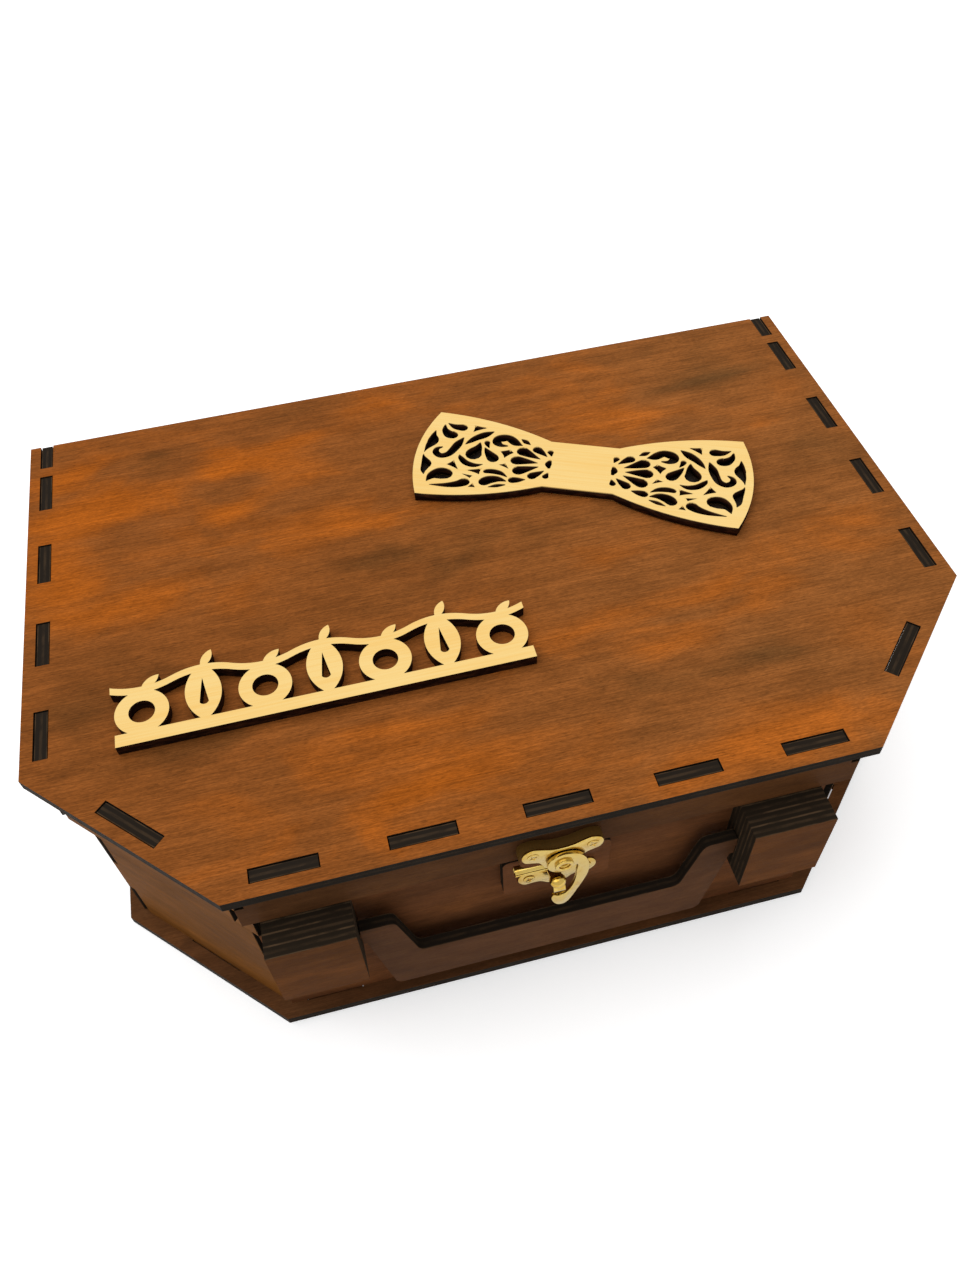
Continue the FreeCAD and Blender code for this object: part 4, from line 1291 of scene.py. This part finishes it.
@dataclass
class Clasp:
    """The brass swing-hook clasp and the two plywood pads under it."""

    nodes: dict[str, Piece]
    ear_x: float = 9.1 * MM
    upper_screw_z: float = 87.8 * MM
    catch_screw_z: float = 66.0 * MM
    sunk_rise: float = 0.2 * MM
    plate: float = 0.8 * MM
    plate_round: float = 0.28 * MM
    hook_round: float = 0.42 * MM
    pad_round: float = 0.15 * MM
    rim_steps: int = 5
    staple_x: float = -3.4 * MM
    staple_width: float = 3.7 * MM
    staple_round: float = 0.85 * MM
    dome_place: Direction = (-1.6 * MM, -103.6 * MM, 71.3 * MM)
    dome_radii: Direction = (2.6, 2.4, 2.1)
    dome_sides: int = 32
    dome_rings: int = 18
    dome_foot: float = 69.9 * MM
    dome_round: float = 0.2 * MM
    roll_x: float = -14.4 * MM
    roll_length: float = 21.0 * MM
    roll_radius: float = 1.4
    roll_wall: float = 0.26
    roll_angles: range = range(150, -171, -32)
    roll_round: float = 0.1 * MM
    rivet_sides: int = 40
    rivet_rim: float = 0.42
    rivet_hollow: float = 1.0 * MM
    rivet_round: float = 0.36 * MM
    rivet_steps: int = 4

    def dress(self) -> None:
        """Stains the lower pad."""
        FRONT_STAIN.dress(self.nodes["clasp_lower_pad"], Panel.FRONT)

    def build(self) -> None:
        """Makes the plates, the hook, the rivet, the staple, the screws and the upper pad."""
        brass = BRASS.material()
        for piece, body, node in (
            (self.upper_plate(), "lid", "clasp_plate"),
            (self.catch_plate(), "case", "catch_plate"),
            (self.hook(), "hook", "clasp_hook"),
            (self.rivet(), "lid", "clasp_rivet"),
        ):
            seat(piece, body, brass)
            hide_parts(node)
        self.screws(brass)
        low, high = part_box("clasp_upper_pad")
        rim = mirrored(PAD_HALF)
        pad = self.stamped("clasp_upper_pad_shaped", rim, high.y, high.y - low.y, self.pad_round)
        # The pad's cut edge is lightened with painted light.
        seat(pad, "lid", PAD_STAIN_PAINTED_LIGHT.material(Panel.FRONT, (low.y + high.y) / 2))
        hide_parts("clasp_upper_pad")

    def stamped(self, name: str, rim: tuple[Spot, ...], back: float, thickness: float,
                easing: float) -> Piece:
        """Stamps a flat piece that faces forward.

        Args:
            name: The piece's name.
            rim: Points of its outline seen from the front, in millimetres.
            back: Where its back lies, in metres.
            thickness: The sheet's thickness, in metres.
            easing: How far its edges are rounded, in metres.

        Returns:
            The piece.
        """
        piece = cut_sheet(name, smooth_line(rim, self.rim_steps, True), thickness)
        piece.data.transform(Matrix.Translation((0, back, 0)) @ FORWARD)
        return eased(piece, easing)

    def bent(self, name: str, line: tuple[Bead, ...], left: float, width: float, easing: float) -> Piece:
        """Bends a strip along a line seen from the side.

        Args:
            name: The piece's name.
            line: The strip's line, forward and up, with its half thickness, in millimetres.
            left: Where its left side lies, in metres.
            width: Its width, in metres.
            easing: How far its edges are rounded, in metres.

        Returns:
            The strip.
        """
        strip = cut_sheet(name, swelling_stroke(line), width)
        strip.data.transform(Matrix.Translation((left, 0, 0)) @ SIDEWAYS)
        return eased(strip, easing)

    def upper_plate(self) -> Piece:
        """Makes the gull-winged plate on the lid, with its lower edge rolled back into a tube.

        Returns:
            The plate.
        """
        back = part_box("clasp_upper_pad")[0].y
        plate = self.stamped("clasp_plate_stamped", mirrored(UPPER_HALF), back, self.plate, self.plate_round)
        y, z = ROLL_MIDDLE
        ring = []
        for angle in map(math.radians, self.roll_angles):
            ring.append((y + self.roll_radius * math.cos(angle), z + self.roll_radius * math.sin(angle),
                         self.roll_wall))
        roll = self.bent("clasp_roll", tuple(ring), self.roll_x, self.roll_length, self.roll_round)
        return joined(plate, roll)

    def catch_plate(self) -> Piece:
        """Makes the catch plate with the domed staple that is bent out of it.

        Returns:
            The plate with its staple.
        """
        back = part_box("clasp_lower_pad")[0].y
        plate = self.stamped("catch_plate_stamped", mirrored(CATCH_HALF), back, self.plate, self.plate_round)
        staple = self.bent("staple", STAPLE_LINE, self.staple_x, self.staple_width, self.staple_round)
        return joined(plate, staple, self.dome())

    def dome(self) -> Piece:
        """Models the staple's domed bend, cut flat where its lip hangs down.

        Returns:
            The dome.
        """
        clear_selection()
        bpy.ops.mesh.primitive_uv_sphere_add(segments=self.dome_sides, ring_count=self.dome_rings, radius=MM,
                                             location=self.dome_place, scale=self.dome_radii)
        dome = started("staple_dome")
        pick_faces(dome, lambda face: True)
        bpy.ops.mesh.bisect(plane_co=(0, 0, self.dome_foot), plane_no=(0, 0, 1), use_fill=True,
                            clear_inner=True)
        close_edit()
        return eased(dome, self.dome_round)

    def hook(self) -> Piece:
        """Makes the swing hook: a round head, and a leg that curls under the staple."""
        low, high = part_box("clasp_hook")
        return self.stamped("clasp_hook_cast", HOOK_RIM, high.y, high.y - low.y, self.hook_round)

    def rivet(self) -> Piece:
        """Models the tubular rivet: a rolled rim round a hollow.

        Returns:
            The rivet.
        """
        low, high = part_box("clasp_rivet")
        radius = (high.x - low.x) / 2
        clear_selection()
        bpy.ops.mesh.primitive_cylinder_add(vertices=self.rivet_sides, radius=radius, depth=high.y - low.y,
                                            location=(low + high) / 2, rotation=(math.radians(90), 0, 0))
        rivet = started("clasp_rivet_rolled")
        pick_faces(rivet, lambda face: face.normal.y < -FACING)
        bpy.ops.mesh.inset(thickness=self.rivet_rim * radius)
        bpy.ops.mesh.extrude_region_move(TRANSFORM_OT_translate={"value": (0, self.rivet_hollow, 0)})
        close_edit()
        return eased(rivet, self.rivet_round, self.rivet_steps)

    def screws(self, brass: Material) -> None:
        """Puts two screws in each plate.

        Args:
            brass: Their finish.
        """
        sunk = Screws(head_rise=self.sunk_rise, slot_depth=self.sunk_rise)
        for kind, name, pad, height, body in (
            (sunk, "clasp_screw", "clasp_upper_pad", self.upper_screw_z, "lid"),
            (Screws(), "catch_screw", "clasp_lower_pad", self.catch_screw_z, "case"),
        ):
            middle = Vector((0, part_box(pad)[0].y - self.plate, height))
            for screw in kind.pair(name, middle, FORWARD, self.ear_x):
                seat(screw, body, brass)


@dataclass
class Hinges:
    """The two brass butt hinges at the back."""

    nodes: dict[str, Piece]
    plate: float = 0.8 * MM
    screw_x: float = 8.0 * MM
    screw_inset: float = 2.2 * MM
    screw_radius: float = 1.3 * MM
    slot_length: float = 1.8 * MM
    slot_width: float = 0.34 * MM

    def dress(self) -> None:
        """Gives the hinges their brass."""
        brass = BRASS.material()
        for side in ("left", "right"):
            for part in ("case_leaf", "lid_leaf", "pin"):
                paint(self.nodes[f"{side}_hinge_{part}"], brass)
        LOG.info("hinges dressed")

    def build(self) -> None:
        """Puts two screws in each leaf."""
        brass = BRASS.material()
        small = Screws(self.screw_radius, slot_length=self.slot_length, slot_width=self.slot_width)
        for side in ("left", "right"):
            case_low, case_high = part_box(f"{side}_hinge_case_leaf")
            lid_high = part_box(f"{side}_hinge_lid_leaf")[1]
            x = (case_low.x + case_high.x) / 2
            for body, y, z, turn in (
                ("case", case_low.y + self.plate, case_low.z + self.screw_inset, REARWARD),
                ("lid", lid_high.y - self.screw_inset, lid_high.z - self.plate, DOWNWARD),
            ):
                name = f"{side}_hinge_{body}_screw"
                for screw in small.pair(name, Vector((x, y, z)), turn, self.screw_x):
                    seat(screw, body, brass)


@dataclass
class Studio:
    """A white floor, soft light from above and the camera at the photo's angle."""

    camera_place: Direction = (-0.0478, -0.2352, 0.3631)
    camera_pitch: float = 51.45
    camera_yaw: float = 11.36
    camera_roll: float = -3.19
    focal_pixels: float = 1040.1
    image_height: int = 1280
    sensor: float = 36.0
    near: float = 0.01
    far: float = 50.0
    floor_size: float = 8.0
    floor_shade: Colour = (0.55, 0.55, 0.55)
    floor_glow: float = 0.42
    sky_level: float = 0.352
    lamp_level: float = 2.05
    lamp_softness: float = 85.0
    lamp_from: Direction = (-0.3, 0.22, 1.0)

    def build(self) -> None:
        """Sets up floor, light and camera."""
        self.floor()
        self.sky()
        self.lamp()
        self.camera()
        bpy.context.scene.view_settings.view_transform = "Standard"

    def floor(self) -> None:
        """Lays a white floor that keeps the case's shadow."""
        clear_selection()
        bpy.ops.mesh.primitive_plane_add(size=self.floor_size, location=(0, 0, 0))
        floor = started("floor")
        bench = NodeBench(bpy.data.materials.new("white_floor"))
        plain = bench.add("ShaderNodeBsdfDiffuse", {"Color": self.floor_shade}).outputs[0]
        white = bench.add("ShaderNodeBsdfDiffuse", {"Color": WHITE}).outputs[0]
        glow = bench.add("ShaderNodeEmission", {"Strength": self.floor_glow}).outputs[0]
        bright = bench.add("ShaderNodeAddShader", {0: white, 1: glow}).outputs[0]
        mix = bench.add("ShaderNodeMixShader", {0: bench.seen_rays(), 1: plain, 2: bright})
        bench.show(mix.outputs[0])
        paint(floor, bench.owner)

    def sky(self) -> None:
        """Makes the world an even soft light that looks white."""
        world = bpy.data.worlds.new("studio")
        bpy.context.scene.world = world
        bench = NodeBench(world, "ShaderNodeOutputWorld")
        level = bench.spread(bench.seen_rays(), (0.0, 1.0), (self.sky_level, 1.0))
        light = bench.add("ShaderNodeBackground", {"Color": WHITE, "Strength": level})
        bench.show(light.outputs[0])

    def hung(self, data: bpy.types.Light | bpy.types.Camera) -> Piece:
        """Brings a lamp or a camera into the scene.

        Args:
            data: The lamp or camera.

        Returns:
            Its object.
        """
        piece = bpy.data.objects.new(data.name, data)
        bpy.context.scene.collection.objects.link(piece)
        return piece

    def lamp(self) -> None:
        """Hangs one broad lamp above, a little behind and to the left."""
        lamp = bpy.data.lights.new("key", "SUN")
        lamp.energy = self.lamp_level
        lamp.angle = math.radians(self.lamp_softness)
        self.hung(lamp).rotation_euler = Vector(self.lamp_from).to_track_quat("Z", "Y").to_euler()

    def camera(self) -> None:
        """Places the camera at the photo's angle."""
        lens = bpy.data.cameras.new("camera")
        lens.sensor_fit = "VERTICAL"
        lens.sensor_height = self.sensor
        lens.lens = self.focal_pixels / self.image_height * self.sensor
        lens.clip_start = self.near
        lens.clip_end = self.far
        piece = self.hung(lens)
        turn = (Matrix.Rotation(math.radians(-self.camera_yaw), 4, "Z")
                @ Matrix.Rotation(math.radians(90 - self.camera_pitch), 4, "X")
                @ Matrix.Rotation(math.radians(self.camera_roll), 4, "Z"))
        piece.matrix_world = Matrix.Translation(Vector(self.camera_place)) @ turn
        bpy.context.scene.camera = piece


def main() -> None:
    """Builds and dresses the case."""
    logging.basicConfig(level=logging.INFO, format="%(name)s: %(message)s")
    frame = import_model()
    nodes = frame["nodes"]
    Studio().build()
    Case(nodes).dress()
    for assembly in (Lid(nodes), Ornaments(nodes), Clasp(nodes), Hinges(nodes)):
        assembly.dress()
        assembly.build()


if __name__ == "__main__":
    main()
